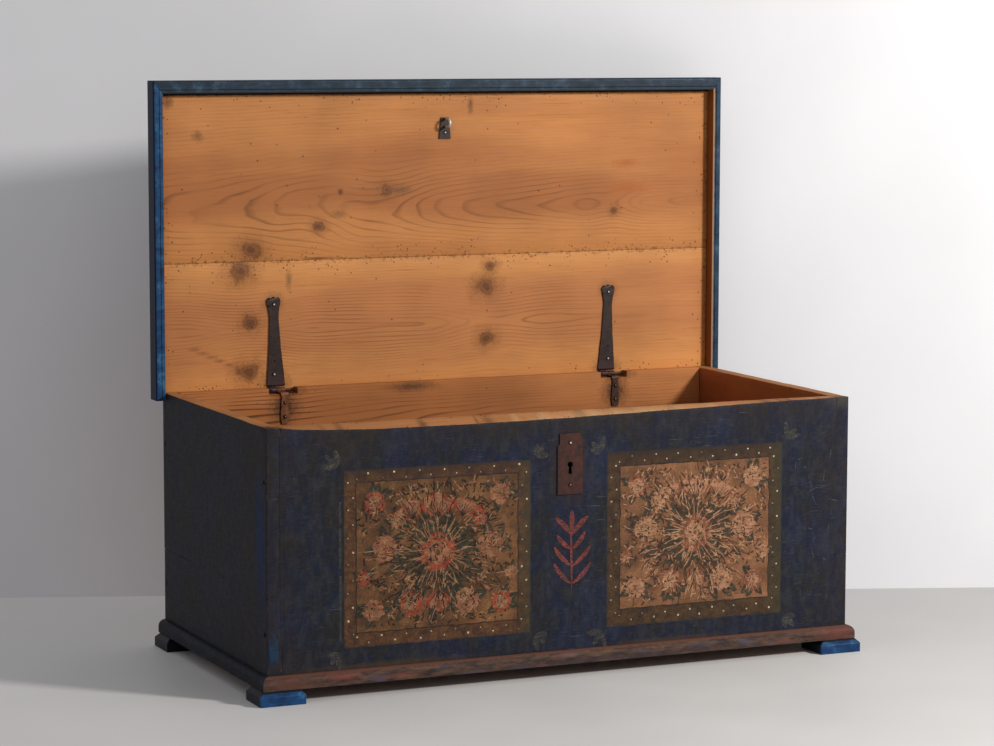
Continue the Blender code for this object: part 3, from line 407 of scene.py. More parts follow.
def cut(board, low, high, surface):
    """Chop a square opening out of a board, with a finish of its own inside."""
    chisel = finished("chisel", block(low, high), surface)
    opening = board.modifiers.new("opening", "BOOLEAN")
    opening.operation = "DIFFERENCE"
    opening.solver = "EXACT"
    opening.object = chisel
    opening.material_mode = "TRANSFER"
    bpy.context.view_layer.update()
    seen = board.evaluated_get(bpy.context.evaluated_depsgraph_get())
    board.data = bpy.data.meshes.new_from_object(seen)
    board.modifiers.clear()
    bpy.data.objects.remove(chisel)


plate_low, plate_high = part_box("key_plate")
KEYHOLE_Z = plate_high.z - 58 * MM
KEYHOLE_HALF = 5 * MM
KEYHOLE_UP = 6 * MM
KEYHOLE_DOWN = 18 * MM
# The walls of the keyhole are near-black pine, as painted shade.
cut(front, Vector((-KEYHOLE_HALF, FRONT_Y - MM, KEYHOLE_Z - KEYHOLE_DOWN)),
    Vector((KEYHOLE_HALF, INNER_Y + MM, KEYHOLE_Z + KEYHOLE_UP)),
    pine("shade_darkened_pine_keyhole", 0x1E1510, 0x140E0A, (0, 0, 0), (0, 0, 0), 6 * MM, 0.3))
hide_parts("front_board")
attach(front, "chest")

# Side boards: a wide upper and a narrower lower pine board on each side, past the ends of the front
# and the back. Painted outside and on their ends, bare inside and on the rim.

SIDE_WEAR = 1.2 * MM
BACK_ROUND = 5.5 * MM
SIDE_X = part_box("left_side_board_upper")[0].x
navy_side = navy_paint("old_navy_paint_sides", (0.45, 0.50), (0.51, 0.59),
                       [(SIDE_X, FRONT_Y + 34 * MM, 0.28, 30 * MM, 150 * MM, 0x122C54), right_corner_rub])
# The inner faces of the sides get a darker copy of the inside pine, as painted shade.
shaded_pine = pine("shaded_bare_pine_inside_ends", 0xA05C32, 0x844622, (0.1, 0.62, 0.36), (0, 0.03, 0), 9 * MM,
                   0.4, turn=math.pi / 2)
for word, outward in (("left", -1), ("right", 1)):
    ways = [Vector((outward, 0, 0)), Vector((0, -1, 0)), Vector((0, 1, 0)), DOWN]
    for level, rounded in (("lower", 0.0), ("upper", BACK_ROUND)):
        node = "{}_side_board_{}".format(word, level)
        low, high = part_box(node)
        painted = ways if rounded else ways + [-DOWN]
        side = plank(node + "_painted", low, high, (navy_side, shaded_pine, rim_pine), painted, SIDE_WEAR,
                     back_round=rounded, along=1)
        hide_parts(node)
        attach(side, "chest")

# Back boards: an upper and a lower pine board between the sides, bare on both faces. The inner face
# has strong straight grain, a dark tear, and rust from the hinges.

back_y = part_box("back_board_upper")[0].y
leaf_x = [sum(corner.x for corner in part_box("hinge_leaf_" + word)) / 2 for word in ("left", "right")]
back_pine = pine("bare_pine_back", 0xBE7A44, 0xA06232, (-0.4, 0.12, 0.40), (0, 0.03, 0.02), 2.9 * MM, 1.9,
                 stains=[(-0.079, back_y, 0.471, 60 * MM, 12 * MM, 0x3A2414)]
                 + [(x, back_y, 0.442, 36 * MM, 40 * MM, 0x28140A) for x in leaf_x]
                 + [(x, back_y, 0.446, 17 * MM, 30 * MM, 0x1A0C06) for x in leaf_x]
                 + [(x + 12 * MM, back_y + 12 * MM, 0.475, 45 * MM, 13 * MM, 0x140A05) for x in leaf_x],
                 calm=(-0.12, 0.22))
dress(back_pine, "back_board_lower", "back_board_upper")

# Corner pegs: riven wooden pegs through the sides into the ends of the front and the back, sawn off
# flush and painted over.

dress(navy_side, *[name for name in nodes if name.startswith("corner_peg")])

# Feet: four low pine blocks under the corners, chamfered on top and painted a brighter blue, which
# has rubbed pale in places. Behind their front faces they are painted near-black, as painted shade.


def blue_paint(name, dark, main, pale):
    """Blue oil paint on pine, thicker and thinner, with pale marks of the brush."""
    made, tree, shader, place = start_finish(name, 0.12)
    cloud = add(tree, "TexNoise", {"Vector": place, "Scale": 1 / (26 * MM),
                                   "Detail": 7.0, "Roughness": 0.65})
    colour = add(tree, "ValToRGB", {"Fac": cloud}, stops=((0.34, dark), (0.55, main), (0.78, pale)))
    brush = add(tree, "TexNoise", {"Vector": add(tree, "Mapping", {
        "Vector": place, "Scale": marks(35, 2, 2)}), "Scale": 1.0, "Detail": 4.0, "Roughness": 0.6})
    colour = tint(tree, colour, brush, 0.55, 0.85, 0.4, pale)
    end_finish(tree, shader, colour, brush, (0.32, 0.55), 0.2 * MM)
    return made


def turn_to(made, axis, start, end, value, waver=0.0):
    """Let a finish go over to another tone between two places along an axis, with a ragged edge."""
    tree = made.node_tree
    base = tree.nodes["Principled BSDF"].inputs["Base Color"]
    place = add(tree, "TexCoord").outputs["Object"]
    ragged = add(tree, "TexNoise", {"Vector": place, "Scale": 1 / (9 * MM),
                                    "Detail": 5.0, "Roughness": 0.7})
    ragged = add(tree, "MapRange", {"Value": ragged, "To Min": -waver, "To Max": waver})
    along = add(tree, "Math", {0: add(tree, "SeparateXYZ", {"Vector": place}).outputs[axis], 1: ragged},
                operation="ADD")
    tone = tint(tree, base.links[0].from_socket, along, start, end, 1.0, value)
    tree.links.new(tone.outputs[0], base)


FOOT_TONES = {"left": (0x153155, 0x1C4876, 0x4E82A4), "right": (0x132A4A, 0x1A3C64, 0x446E90)}
foot_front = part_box("foot_front_left")[0].y
for word, tones in FOOT_TONES.items():
    foot_blue = blue_paint("rubbed_blue_paint_feet_" + word, *tones)
    # Painted shade: each foot goes near-black behind its front face.
    turn_to(foot_blue, "Y", foot_front + 4 * MM, foot_front + 6 * MM, 0x14171E, 2 * MM)
    dress(foot_blue, "foot_front_" + word, "foot_back_" + word)

# Base moulding: a rounded strip round the foot of the chest, mitred at the front corners. The front
# one was painted red over blue, and kicks have mixed both with bare wood.


def kicked_paint(name, stains):
    """Brick-red paint over older coats, scuffed through to brown, purple-grey and wood."""
    made, tree, shader, place = start_finish(name, 0.12)
    cloud = add(tree, "TexNoise", {"Vector": add(tree, "Mapping", {
        "Vector": place, "Scale": marks(30, 8, 8)}), "Scale": 1.0, "Detail": 9.0, "Roughness": 0.75})
    colour = add(tree, "ValToRGB", {"Fac": cloud}, stops=(
        (0.32, 0x241C1C), (0.43, 0x3A2D29), (0.52, 0x4C3A31), (0.61, 0x604437), (0.74, 0x7E4C3E)))
    scuff = add(tree, "TexNoise", {"Vector": add(tree, "Mapping", {
        "Vector": place, "Scale": marks(16, 3, 3)}), "Scale": 1.0, "Detail": 6.0, "Roughness": 0.7})
    colour = tint(tree, colour, scuff, 0.55, 0.75, 0.6, 0x6C5A4E)
    for *spot, value in stains:
        colour = stain(tree, place, scuff, colour, spot, value)
    end_finish(tree, shader, colour, scuff, (0.5, 0.75), 0.5 * MM)
    return made


KICKS = 24
KICK_TONES = (0x3E3B44, 0x504852, 0x645036, 0x6E443A, 0x2A2022)
base_low, base_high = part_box("base_moulding_front")
rng = random.Random(23)
kicks = [(rng.uniform(-0.56, 0.46), base_low.y, rng.uniform(0.026, 0.044), rng.uniform(10, 36) * MM,
          rng.uniform(3, 6) * MM, rng.choice(KICK_TONES)) for kick in range(KICKS)]
kicked_red = kicked_paint("kicked_red_paint_base", kicks + [
    (-0.535, base_low.y, 0.036, 60 * MM, 20 * MM, 0x5E3C32),
    (-0.440, base_low.y, 0.040, 36 * MM, 7 * MM, 0x80443A),
    (-0.330, base_low.y, 0.033, 34 * MM, 6 * MM, 0x7A463A),
    (0.550, base_low.y, 0.040, 60 * MM, 20 * MM, 0x6E3E34),
    (0.10, base_low.y, 0.030, 320 * MM, 7 * MM, 0x3A3135)])
turn_to(kicked_red, "Z", base_high.z - 4 * MM, base_high.z - 2 * MM, 0x644236, 4 * MM)
dress(kicked_red, "base_moulding_front")
# Painted shade: the end mouldings go near-black in patches all along them.
navy_base = navy_paint("shade_darkened_navy_paint_base_ends", (2.0, 3.0), (0.0, 0.2), (), 0x121318)
dress(navy_base, "base_moulding_left", "base_moulding_right")

# Painted panels: a tan field with a wreath of flowers, in an olive border with cream dots, brushed on
# the blue front in thin oil paint. Both are rubbed, the right one paler than the left.

FILM = 0.09 * MM
DAB_RISE = 0.10 * MM
ON_FRONT = Matrix(((1, 0, 0, 0), (0, 0, -1, FRONT_Y), (0, 1, 0, 0), (0, 0, 0, 1)))
STROKE_SIDES = 12
EDGE_CUTS = 280


def stroke(film, place, angle, length, width, bend=0.0, taper=0.7, point=0.0):
    """One touch of the brush: a dab that narrows to its tip, or to its root where taper is negative,
    and has sharper ends where it has a point."""
    dab = bmesh.ops.create_circle(film, cap_ends=True, cap_tris=True, segments=STROKE_SIDES,
                                  radius=1.0)["verts"]
    body = DAB_RISE * (0.6 + 0.4 * noise.noise(Vector((*place, angle)) / (9 * MM)))
    for vertex in dab:
        way = (vertex.co.x + 1) / 2
        half = width / 2 * vertex.co.y * abs(vertex.co.y) ** point * (1 + taper * (0.5 - way))
        rise = body if vertex.co.length < 0.5 else 0.0
        vertex.co = (way * length, half + bend * length * way * way, rise)
    turned = Matrix.Translation((place[0], place[1], 0)) @ Matrix.Rotation(angle, 4, "Z")
    bmesh.ops.transform(film, matrix=turned, verts=dab)


def patch(film, low, high, waver):
    """A filled rectangle with hand-drawn edges, from a circle pulled square."""
    for vertex in bmesh.ops.create_circle(film, cap_ends=True, segments=EDGE_CUTS, radius=0.5)["verts"]:
        square = vertex.co / (2 * max(abs(vertex.co.x), abs(vertex.co.y)))
        at = Vector((low[0] + (square.x + 0.5) * (high[0] - low[0]),
                     low[1] + (square.y + 0.5) * (high[1] - low[1]), 0))
        broad = Vector((noise.noise(at / (20 * MM)), noise.noise(at.yxz / (20 * MM)), 0))
        fine = Vector((noise.noise(at / (5 * MM)), noise.noise(at.yxz / (5 * MM)), 0))
        vertex.co = at + waver * (broad + 0.6 * fine)


def lay_film(name, film, surface, layer, face_of=ON_FRONT):
    """Lay a film of paint on the front or another face, as a thin closed skin at its own height."""
    under = film.faces[:]
    raised = bmesh.ops.extrude_face_region(film, geom=under, use_keep_orig=True)["geom"]
    tops = [item for item in raised if isinstance(item, bmesh.types.BMVert)]
    bmesh.ops.translate(film, vec=(0, 0, layer * FILM), verts=tops)
    for face in under:
        for vertex in face.verts:
            vertex.co.z = 0.0
    bmesh.ops.transform(film, matrix=face_of, verts=film.verts)
    bmesh.ops.recalc_face_normals(film, faces=film.faces)
    made = finished(name, film, surface)
    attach(made, "chest")


def field_coat(tones):
    """Colour of a tan field: thin paint over the wood grain, crazed and rubbed lighter and darker. The
    grain and the crazing are drawn coarser than real ones, to show."""
    def coat(tree, place):
        cloud = add(tree, "TexNoise", {"Vector": place, "Scale": 1 / (50 * MM),
                                       "Detail": 9.0, "Roughness": 0.7})
        colour = add(tree, "ValToRGB", {"Fac": cloud}, stops=list(zip((0.32, 0.48, 0.60, 0.74), tones)))
        grain = add(tree, "TexNoise", {"Vector": add(tree, "Mapping", {
            "Vector": place, "Scale": marks(22, 22, 1.7)}), "Scale": 1.0, "Detail": 5.0, "Roughness": 0.7})
        colour = tint(tree, colour, grain, 0.52, 0.70, 0.65, 0x4A3524)
        craze = add(tree, "TexNoise", {"Vector": place, "Scale": 1 / (3.2 * MM),
                                       "Detail": 3.0, "Roughness": 0.6})
        return tint(tree, colour, craze, 0.53, 0.64, 0.6, 0x3C2A1E), grain
    return coat


def film_paint(name, under, stops, rubbed):
    """Thin oil paint over another coat, which shows where this one is rubbed or flaked away."""
    made, tree, shader, place = start_finish(name, 0.15)
    bare, grain = under(tree, place)
    cloud = add(tree, "TexNoise", {"Vector": place, "Scale": 1 / (12 * MM),
                                   "Detail": 6.0, "Roughness": 0.65})
    colour = add(tree, "ValToRGB", {"Fac": cloud}, stops=stops)
    flake = add(tree, "TexNoise", {"Vector": place, "Scale": 1 / (4 * MM),
                                   "Detail": 6.0, "Roughness": 0.75})
    rub = add(tree, "Math", {0: flake, 1: grain}, operation="ADD")
    colour = tint(tree, colour, rub, 1.12 - rubbed, 1.24 - rubbed, 0.9, bare)
    pit = add(tree, "TexNoise", {"Vector": place, "Scale": 1 / (3.2 * MM),
                                 "Detail": 3.0, "Roughness": 0.6})
    colour = tint(tree, colour, pit, 0.54, 0.66, 0.5, 0x2A1D15)
    end_finish(tree, shader, colour, flake, (0.4, 0.65), 0.15 * MM)
    return made


def field_paint(name, coat):
    """The tan field itself, in thin oil paint that shows the wood grain."""
    made, tree, shader, place = start_finish(name, 0.15)
    colour, grain = coat(tree, place)
    end_finish(tree, shader, colour, grain, (0.4, 0.65), 0.2 * MM)
    return made


def around(centre, angle, far):
    """A point at a distance from another one."""
    return (centre[0] + far * math.cos(angle), centre[1] + far * math.sin(angle))


def petals(film, rng, at, size, count, reach, width, near=0.2):
    """A ring of petals round a point, each wider at its tip."""
    turn = rng.uniform(0, math.pi)
    for petal in range(count):
        angle = turn + 2 * math.pi * (petal + rng.uniform(-0.15, 0.15)) / count
        stroke(film, around(at, angle, near * size), angle, size * reach, size * width,
               rng.uniform(-0.15, 0.15), -0.8)


def rose(films, rng, at, size, outer, inner):
    """A full flower from the front: two rings of petals, with fine lines over them."""
    petals(films[outer], rng, at, size, 8, 0.8, 0.62)
    petals(films[inner], rng, at, size, 7, 0.5, 0.46, 0.1)
    for mark in range(int(size / (0.8 * MM))):
        angle = rng.uniform(0, 2 * math.pi)
        start = around(at, angle, rng.uniform(0.15, 0.95) * size)
        colour = "line" if mark % 2 else "light"
        stroke(films[colour], start, angle + rng.choice((-1, 1)) * rng.uniform(0.9, 1.7),
               size * rng.uniform(0.2, 0.42), rng.uniform(1.3, 2.2) * MM, rng.uniform(-0.5, 0.5))


def fan(films, rng, at, angle, size, spread, count):
    """A flower from the side: narrow petals that open out from its foot."""
    for petal in range(count):
        lean = spread * (petal / (count - 1) - 0.5)
        colour = ("rose", "blush")[petal % 2]
        stroke(films[colour], at, angle + lean, size * rng.uniform(0.85, 1.05), size * 0.34,
               0.25 * lean, -0.9)
        stroke(films["line"], at, angle + lean + 0.08, size * 0.7, 1.6 * MM, 0.25 * lean)


def leaf(films, rng, at, angle, size):
    """A pointed dark leaf with a light vein."""
    bend = rng.uniform(-0.3, 0.3)
    stroke(films["leaf"], at, angle, size, size * 0.46, bend, 0.3, 0.35)
    stroke(films["light"], at, angle, size * 0.75, 1.5 * MM, bend * 0.8)


RING_FLOWERS = (
    (-0.66, 0.10, 24, "blush", "rose"), (0.66, 0.06, 25, "blush", "rose"),
    (-0.34, -0.66, 23, "rose", "blush"), (0.36, -0.68, 24, "blush", "rose"),
    (0.78, 0.74, 20, "blush", "blush"), (-0.78, 0.72, 21, "rose", "blush"),
    (-0.80, -0.72, 20, "blush", "rose"), (0.80, -0.74, 20, "rose", "blush"),
    (-0.92, -0.28, 13, "rose", "rose"), (0.92, -0.34, 13, "blush", "blush"),
    (-0.50, 0.46, 15, "blush", "rose"), (0.52, 0.44, 15, "rose", "rose"))
SPRAYS = 340
FLECKS = 1350


def wreath(films, rng, centre, half):
    """A full rose in the middle, leaves and fine sprays that shoot out of it, and a ring of smaller
    flowers round them out to the corners."""
    for turn in range(0, 360, 19):
        angle = math.radians(turn + rng.uniform(-7, 7))
        leaf(films, rng, around(centre, angle, 24 * MM), angle, rng.uniform(38, 64) * MM)
    for turn in range(0, 360, 24):
        angle = math.radians(turn + rng.uniform(-10, 10))
        leaf(films, rng, around(centre, angle, rng.uniform(64, 96) * MM), angle + rng.uniform(-0.9, 0.9),
             rng.uniform(26, 42) * MM)
    for spray in range(SPRAYS):
        angle = rng.uniform(0, 2 * math.pi)
        start = around(centre, angle, rng.uniform(26, 120) * MM)
        if abs(start[0] - centre[0]) < half[0] - 20 * MM and abs(start[1] - centre[1]) < half[1] - 16 * MM:
            colour = ("line", "light", "line", "blush")[spray % 4]
            stroke(films[colour], start, angle + rng.uniform(-0.25, 0.25), rng.uniform(10, 26) * MM,
                   rng.uniform(1.5, 2.6) * MM, rng.uniform(-0.3, 0.3))
    rose(films, rng, centre, 36 * MM, "rose", "blush")
    for x, y, size, outer, inner in RING_FLOWERS:
        at = (centre[0] + x * half[0], centre[1] + y * half[1])
        for side in range(4):
            leaf(films, rng, at, rng.uniform(0, 2 * math.pi), 1.75 * size * MM)
        rose(films, rng, at, size * MM, outer, inner)
    for x, lean in ((0.0, 0.0), (-0.30, 0.35), (0.30, -0.35)):
        at = (centre[0] + x * half[0], centre[1] + 0.46 * half[1])
        fan(films, rng, at, math.pi / 2 + lean, (48 if x == 0 else 38) * MM, 1.3, 7)
    at = (centre[0], centre[1] - 0.50 * half[1])
    fan(films, rng, at, -math.pi / 2, 38 * MM, 1.2, 5)
    for fleck in range(FLECKS):
        at = (centre[0] + rng.uniform(-0.96, 0.96) * half[0], centre[1] + rng.uniform(-0.94, 0.94) * half[1])
        if noise.noise(Vector((at[0], at[1], 0.3)) / (38 * MM)) > -0.16:
            colour = ("line", "light", "line", "blush", "leaf")[fleck % 5]
            stroke(films[colour], at, rng.uniform(0, 2 * math.pi), rng.uniform(4, 12) * MM,
                   rng.uniform(1.8, 4.0) * MM, rng.uniform(-0.5, 0.5))


PANELS = {
    "left": ((-0.4335, RIM - 0.393), (-0.0765, RIM - 0.081),
             (-0.4095, RIM - 0.367), (-0.1025, RIM - 0.104), 11),
    "right": ((0.075, RIM - 0.3965), (0.435, RIM - 0.0775),
              (0.102, RIM - 0.364), (0.407, RIM - 0.1045), 29),
}
FIELD_TONES = {"left": (0x38271A, 0x5A3D26, 0x785232, 0x90663E),
               "right": (0x583C28, 0x765036, 0x8A5E40, 0x9E6E4E)}
BORDER_TONES = {"left": (0x3A261A, 0x543722, 0x684628), "right": (0x30231A, 0x45321F, 0x533D26)}
STROKE_TONES = {
    "left": {"leaf": (0x20221B, 0x393A2E), "rose": (0x6E2A20, 0xA04630), "blush": (0x6A402E, 0xA06A4C),
             "line": (0x1A1410, 0x2E211A), "light": (0x6A4E38, 0x9E7A56)},
    "right": {"leaf": (0x282620, 0x403B30), "rose": (0x6E3E2E, 0x905840), "blush": (0x8C6046, 0xB48464),
              "line": (0x2C1F1A, 0x4A3428), "light": (0x906A4A, 0xB88F6C)},
}
LAYERS = {"leaf": 3, "rose": 4, "blush": 5, "line": 6, "light": 7}
DOT_STEP = 23 * MM
DOT_RADIUS = 1.8 * MM
DOT_OFF = 4.6 * MM
LINE_WIDTH = 2.2 * MM
RUBBED_EDGE = 4.5 * MM
BORDER_WAVER = 1.2 * MM
FIELD_WAVER = 1.5 * MM
border_line = film_paint("dark_line_paint", navy_coat, ((0.35, 0x261B14), (0.65, 0x3E2D1E)), 0.12)
dot_cream = film_paint("cream_paint_dots", navy_coat, ((0.40, 0x6E6248), (0.60, 0xD0C4A8)), 0.06)
for word, (outer_low, outer_high, inner_low, inner_high, seed) in PANELS.items():
    border = bmesh.new()
    patch(border, outer_low, outer_high, BORDER_WAVER)
    border_olive = film_paint("rubbed_olive_paint_" + word, navy_coat,
                              list(zip((0.35, 0.50, 0.66), BORDER_TONES[word])), 0.06)
    turn_to(border_olive, "Z", outer_high[1] - 32 * MM, outer_high[1] + 10 * MM, 0x30241E, 4 * MM)
    turn_to(border_olive, "X", outer_high[0] - 34 * MM, outer_high[0] + 16 * MM, 0x383626, 4 * MM)
    for axis, at, inward in (("X", outer_low[0], 1), ("X", outer_high[0], -1),
                             ("Z", outer_low[1], 1), ("Z", outer_high[1], -1)):
        turn_to(border_olive, axis, at + inward * RUBBED_EDGE, at - inward * RUBBED_EDGE, 0x26272E, 3 * MM)
    lay_film(word + "_panel_border", border, border_olive, 1)
    edge_line = bmesh.new()
    patch(edge_line, (inner_low[0] - LINE_WIDTH, inner_low[1] - LINE_WIDTH),
          (inner_high[0] + LINE_WIDTH, inner_high[1] + LINE_WIDTH), FIELD_WAVER)
    lay_film(word + "_panel_line", edge_line, border_line, 1.5)
    coat = field_coat(FIELD_TONES[word])
    field = bmesh.new()
    patch(field, inner_low, inner_high, FIELD_WAVER)
    lay_film(word + "_panel_field", field, field_paint("thin_tan_paint_" + word, coat), 2)
    centre = ((inner_low[0] + inner_high[0]) / 2, (inner_low[1] + inner_high[1]) / 2)
    half = ((inner_high[0] - inner_low[0]) / 2, (inner_high[1] - inner_low[1]) / 2)
    films = {colour: bmesh.new() for colour in LAYERS}
    wreath(films, random.Random(seed), centre, half)
    for colour, film in films.items():
        dark, light = STROKE_TONES[word][colour]
        oil = film_paint("rubbed_{}_paint_{}".format(colour, word), coat, ((0.35, dark), (0.65, light)), 0.10)
        lay_film("{}_panel_{}_strokes".format(word, colour), film, oil, LAYERS[colour])
    dots = bmesh.new()
    rng = random.Random(seed + 1)
    middle = [((outer_low[axis] + inner_low[axis]) / 2, (outer_high[axis] + inner_high[axis]) / 2)
              for axis in (0, 1)]
    for axis in (0, 1):
        run = middle[axis][1] - middle[axis][0]
        count = round(run / DOT_STEP)
        for edge_at, outward in ((middle[1 - axis][0], -1), (middle[1 - axis][1], 1)):
            for step in range(count):
                along = middle[axis][0] + run * (step + 0.5 + rng.uniform(-0.1, 0.1)) / count
                off = edge_at + outward * (DOT_OFF if step % 2 else -DOT_OFF) + rng.uniform(-1, 1) * MM
                at = (along, off, 0) if axis == 0 else (off, along, 0)
                bmesh.ops.create_circle(dots, cap_ends=True, segments=8,
                                        radius=DOT_RADIUS * rng.uniform(0.7, 1.15),
                                        matrix=Matrix.Translation(at))
    lay_film(word + "_panel_dots", dots, dot_cream, 5)

# Red sprig: a plain brush sprig between the panels, with a tulip at its top and paired leaves, in thin
# brick-red oil paint on the blue.

SPRIG_FOOT = (0.005, RIM - 0.322)
SPRIG_RISE = 108 * MM
UPWARD = math.pi / 2
sprig = bmesh.new()
rng = random.Random(3)
stroke(sprig, SPRIG_FOOT, UPWARD, SPRIG_RISE, 4.5 * MM, 0.02, -0.2)
for way, size in ((0.10, 52), (0.40, 50), (0.68, 40)):
    at = (SPRIG_FOOT[0], SPRIG_FOOT[1] + way * SPRIG_RISE)
    for side in (-1, 1):
        stroke(sprig, at, UPWARD - side * rng.uniform(0.95, 1.15), size * MM, 9 * MM, side * 0.26, -0.5, 0.2)
for lean in (-0.62, 0.0, 0.62):
    stroke(sprig, (SPRIG_FOOT[0], SPRIG_FOOT[1] + 0.92 * SPRIG_RISE), UPWARD - lean, 46 * MM, 10 * MM,
           -0.25 * lean, -0.4, 0.2)
brick = film_paint("rubbed_brick_red_paint", navy_coat, ((0.35, 0x5C2A24), (0.65, 0x8E4236)), 0.14)
lay_film("red_sprig", sprig, brick, 1)

# Leaf sprigs: three grey-green dabs at each outer corner of the panels, almost rubbed away, and a patch
# of fresher blue on the left end. An olive line the painter drew beside the left panel still shows in
# places, and scuffs have broken the paint on the right end.

FRESH_DABS = 10
SCUFFS = 26
sprigs = bmesh.new()
rng = random.Random(5)
for x, z, out_x, out_z in (
        (-0.444, 0.408, -1, 1), (-0.066, 0.404, 1, 1), (-0.444, 0.080, -1, -1), (-0.066, 0.082, 1, -1),
        (0.064, 0.406, -1, 1), (0.443, 0.409, 1, 1), (0.066, 0.078, -1, -1), (0.444, 0.078, 1, -1)):
    heading = math.atan2(out_z, out_x)
    for lean in (-0.75, 0.05, 0.8):
        stroke(sprigs, (x, z), heading + lean + rng.uniform(-0.1, 0.1), rng.uniform(22, 32) * MM,
               rng.uniform(10, 13) * MM, rng.uniform(-0.2, 0.2), -0.3, 0.3)
lay_film("corner_sprigs", sprigs, film_paint(
    "rubbed_grey_green_paint", navy_coat, ((0.35, 0x302F28), (0.65, 0x575242)), 0.22), 1)
fresh = bmesh.new()
for dab in range(FRESH_DABS):
    stroke(fresh, (rng.uniform(-0.573, -0.557), rng.uniform(0.062, 0.085)), UPWARD + rng.uniform(-0.1, 0.1),
           rng.uniform(24, 48) * MM, rng.uniform(3, 6) * MM, 0.0, 0.3, 0.2)
lay_film("fresh_blue_patch", fresh, film_paint(
    "fresh_blue_paint", navy_coat, ((0.35, 0x142C44), (0.65, 0x1B4060)), 0.18), 1)
guide = bmesh.new()
outer_left = PANELS["left"][0][0]
for start, end in ((0.100, 0.215), (0.228, 0.300), (0.306, 0.345)):
    patch(guide, (outer_left - 9 * MM, start), (outer_left - 4.5 * MM, end), 0.9 * MM)
lay_film("left_panel_guide_line", guide, film_paint(
    "rubbed_olive_guide_line", navy_coat, ((0.35, 0x2C2C27), (0.65, 0x46463C)), 0.16), 1)
scuffs = bmesh.new()
for mark in range(SCUFFS):
    upright = rng.random() < 0.7
    stroke(scuffs, (rng.uniform(0.462, 0.540), rng.uniform(0.10, 0.42)),
           (UPWARD if upright else 0.0) + rng.uniform(-0.5, 0.5), rng.uniform(6, 26) * MM,
           rng.uniform(1.2, 2.6) * MM, rng.uniform(-0.2, 0.2), 0.3, 0.3)
lay_film("right_end_scuffs", scuffs, film_paint(
    "scuffed_pale_paint", navy_coat, ((0.35, 0x2C323E), (0.65, 0x4A5058)), 0.2), 1)

# Corner and side joints: the blue paint has run over the joints between the front and the sides and
# between the two boards of a side, and has cracked open again here and there. The wood in the joints
# is dark.

JOINT_HALF = 2.4 * MM
JOINT_WAVER = 0.5 * MM
ON_LEFT = Matrix(((0, 0, -1, SIDE_X), (-1, 0, 0, 0), (0, 1, 0, 0), (0, 0, 0, 1)))
ON_RIGHT = Matrix(((0, 0, 1, -SIDE_X), (1, 0, 0, 0), (0, 1, 0, 0), (0, 0, 0, 1)))
board_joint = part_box("left_side_board_lower")[1].z
run_over = bmesh.new()
for at, foot in ((front_low.x, base_high.z + 50 * MM), (front_high.x, base_high.z)):
    patch(run_over, (at - JOINT_HALF, foot), (at + JOINT_HALF, RIM - 14 * MM), JOINT_WAVER)
for at in (SIDE_X, front_high.x):
    patch(run_over, (at + MM, board_joint - JOINT_HALF), (at + 24 * MM, board_joint + JOINT_HALF),
          JOINT_WAVER)
lay_film("corner_joint_paint", run_over, navy_front, 0.5)
for word, face_of, stretches in (("left", ON_LEFT, ((-0.13, 0.05), (0.09, 0.2775))),
                                 ("right", ON_RIGHT, ((-0.2775, -0.06), (-0.03, 0.20)))):
    run_over = bmesh.new()
    for start, end in stretches:
        patch(run_over, (start, board_joint - JOINT_HALF), (end, board_joint + JOINT_HALF), JOINT_WAVER)
    lay_film(word + "_side_joint_paint", run_over, navy_side, 0.5, face_of)
turn_to(shaded_pine, "Y", INNER_Y, INNER_Y - MM, 0x1A1410)

# Ironwork: the key plate, hinges, staple and lock are forged from wrought iron, rusted brown and worn
# bright where they rub; on the staple and the nail heads the bright is partly painted highlight, and
# the key plate has a painted shadow along its left edge. Nails with hammered heads hold them.

HAMMER_STEP = 4 * MM
HAMMER_MARK = 0.05
KNOCK = 0.08
IRON_SMOOTH = math.radians(40)
STRAP_X = 0.350
STRAP_FOOT = 0.48
STRAP_RUN = 0.158
STRAP_LEAN = 0.004
STRAP_WIDTHS = ((0.484, 1.0), (0.505, 0.96), (0.56, 0.78), (0.612, 0.70), (0.624, 0.80), (0.634, 1.0),
                (0.66, 1.0))
LEAF_WIDTHS = ((0.41, 0.7), (0.416, 0.95), (0.428, 1.12), (0.440, 0.98), (0.458, 0.8), (0.466, 0.8),
               (0.468, 1.0))
LEAF_TONES = {"left": (0x4A2A14, 0x84502A), "right": (0x24130C, 0x4A2C1A)}
RUSTY_NAILS = ("hinge_leaf", "key_plate_nail_lower", "lock_nail")


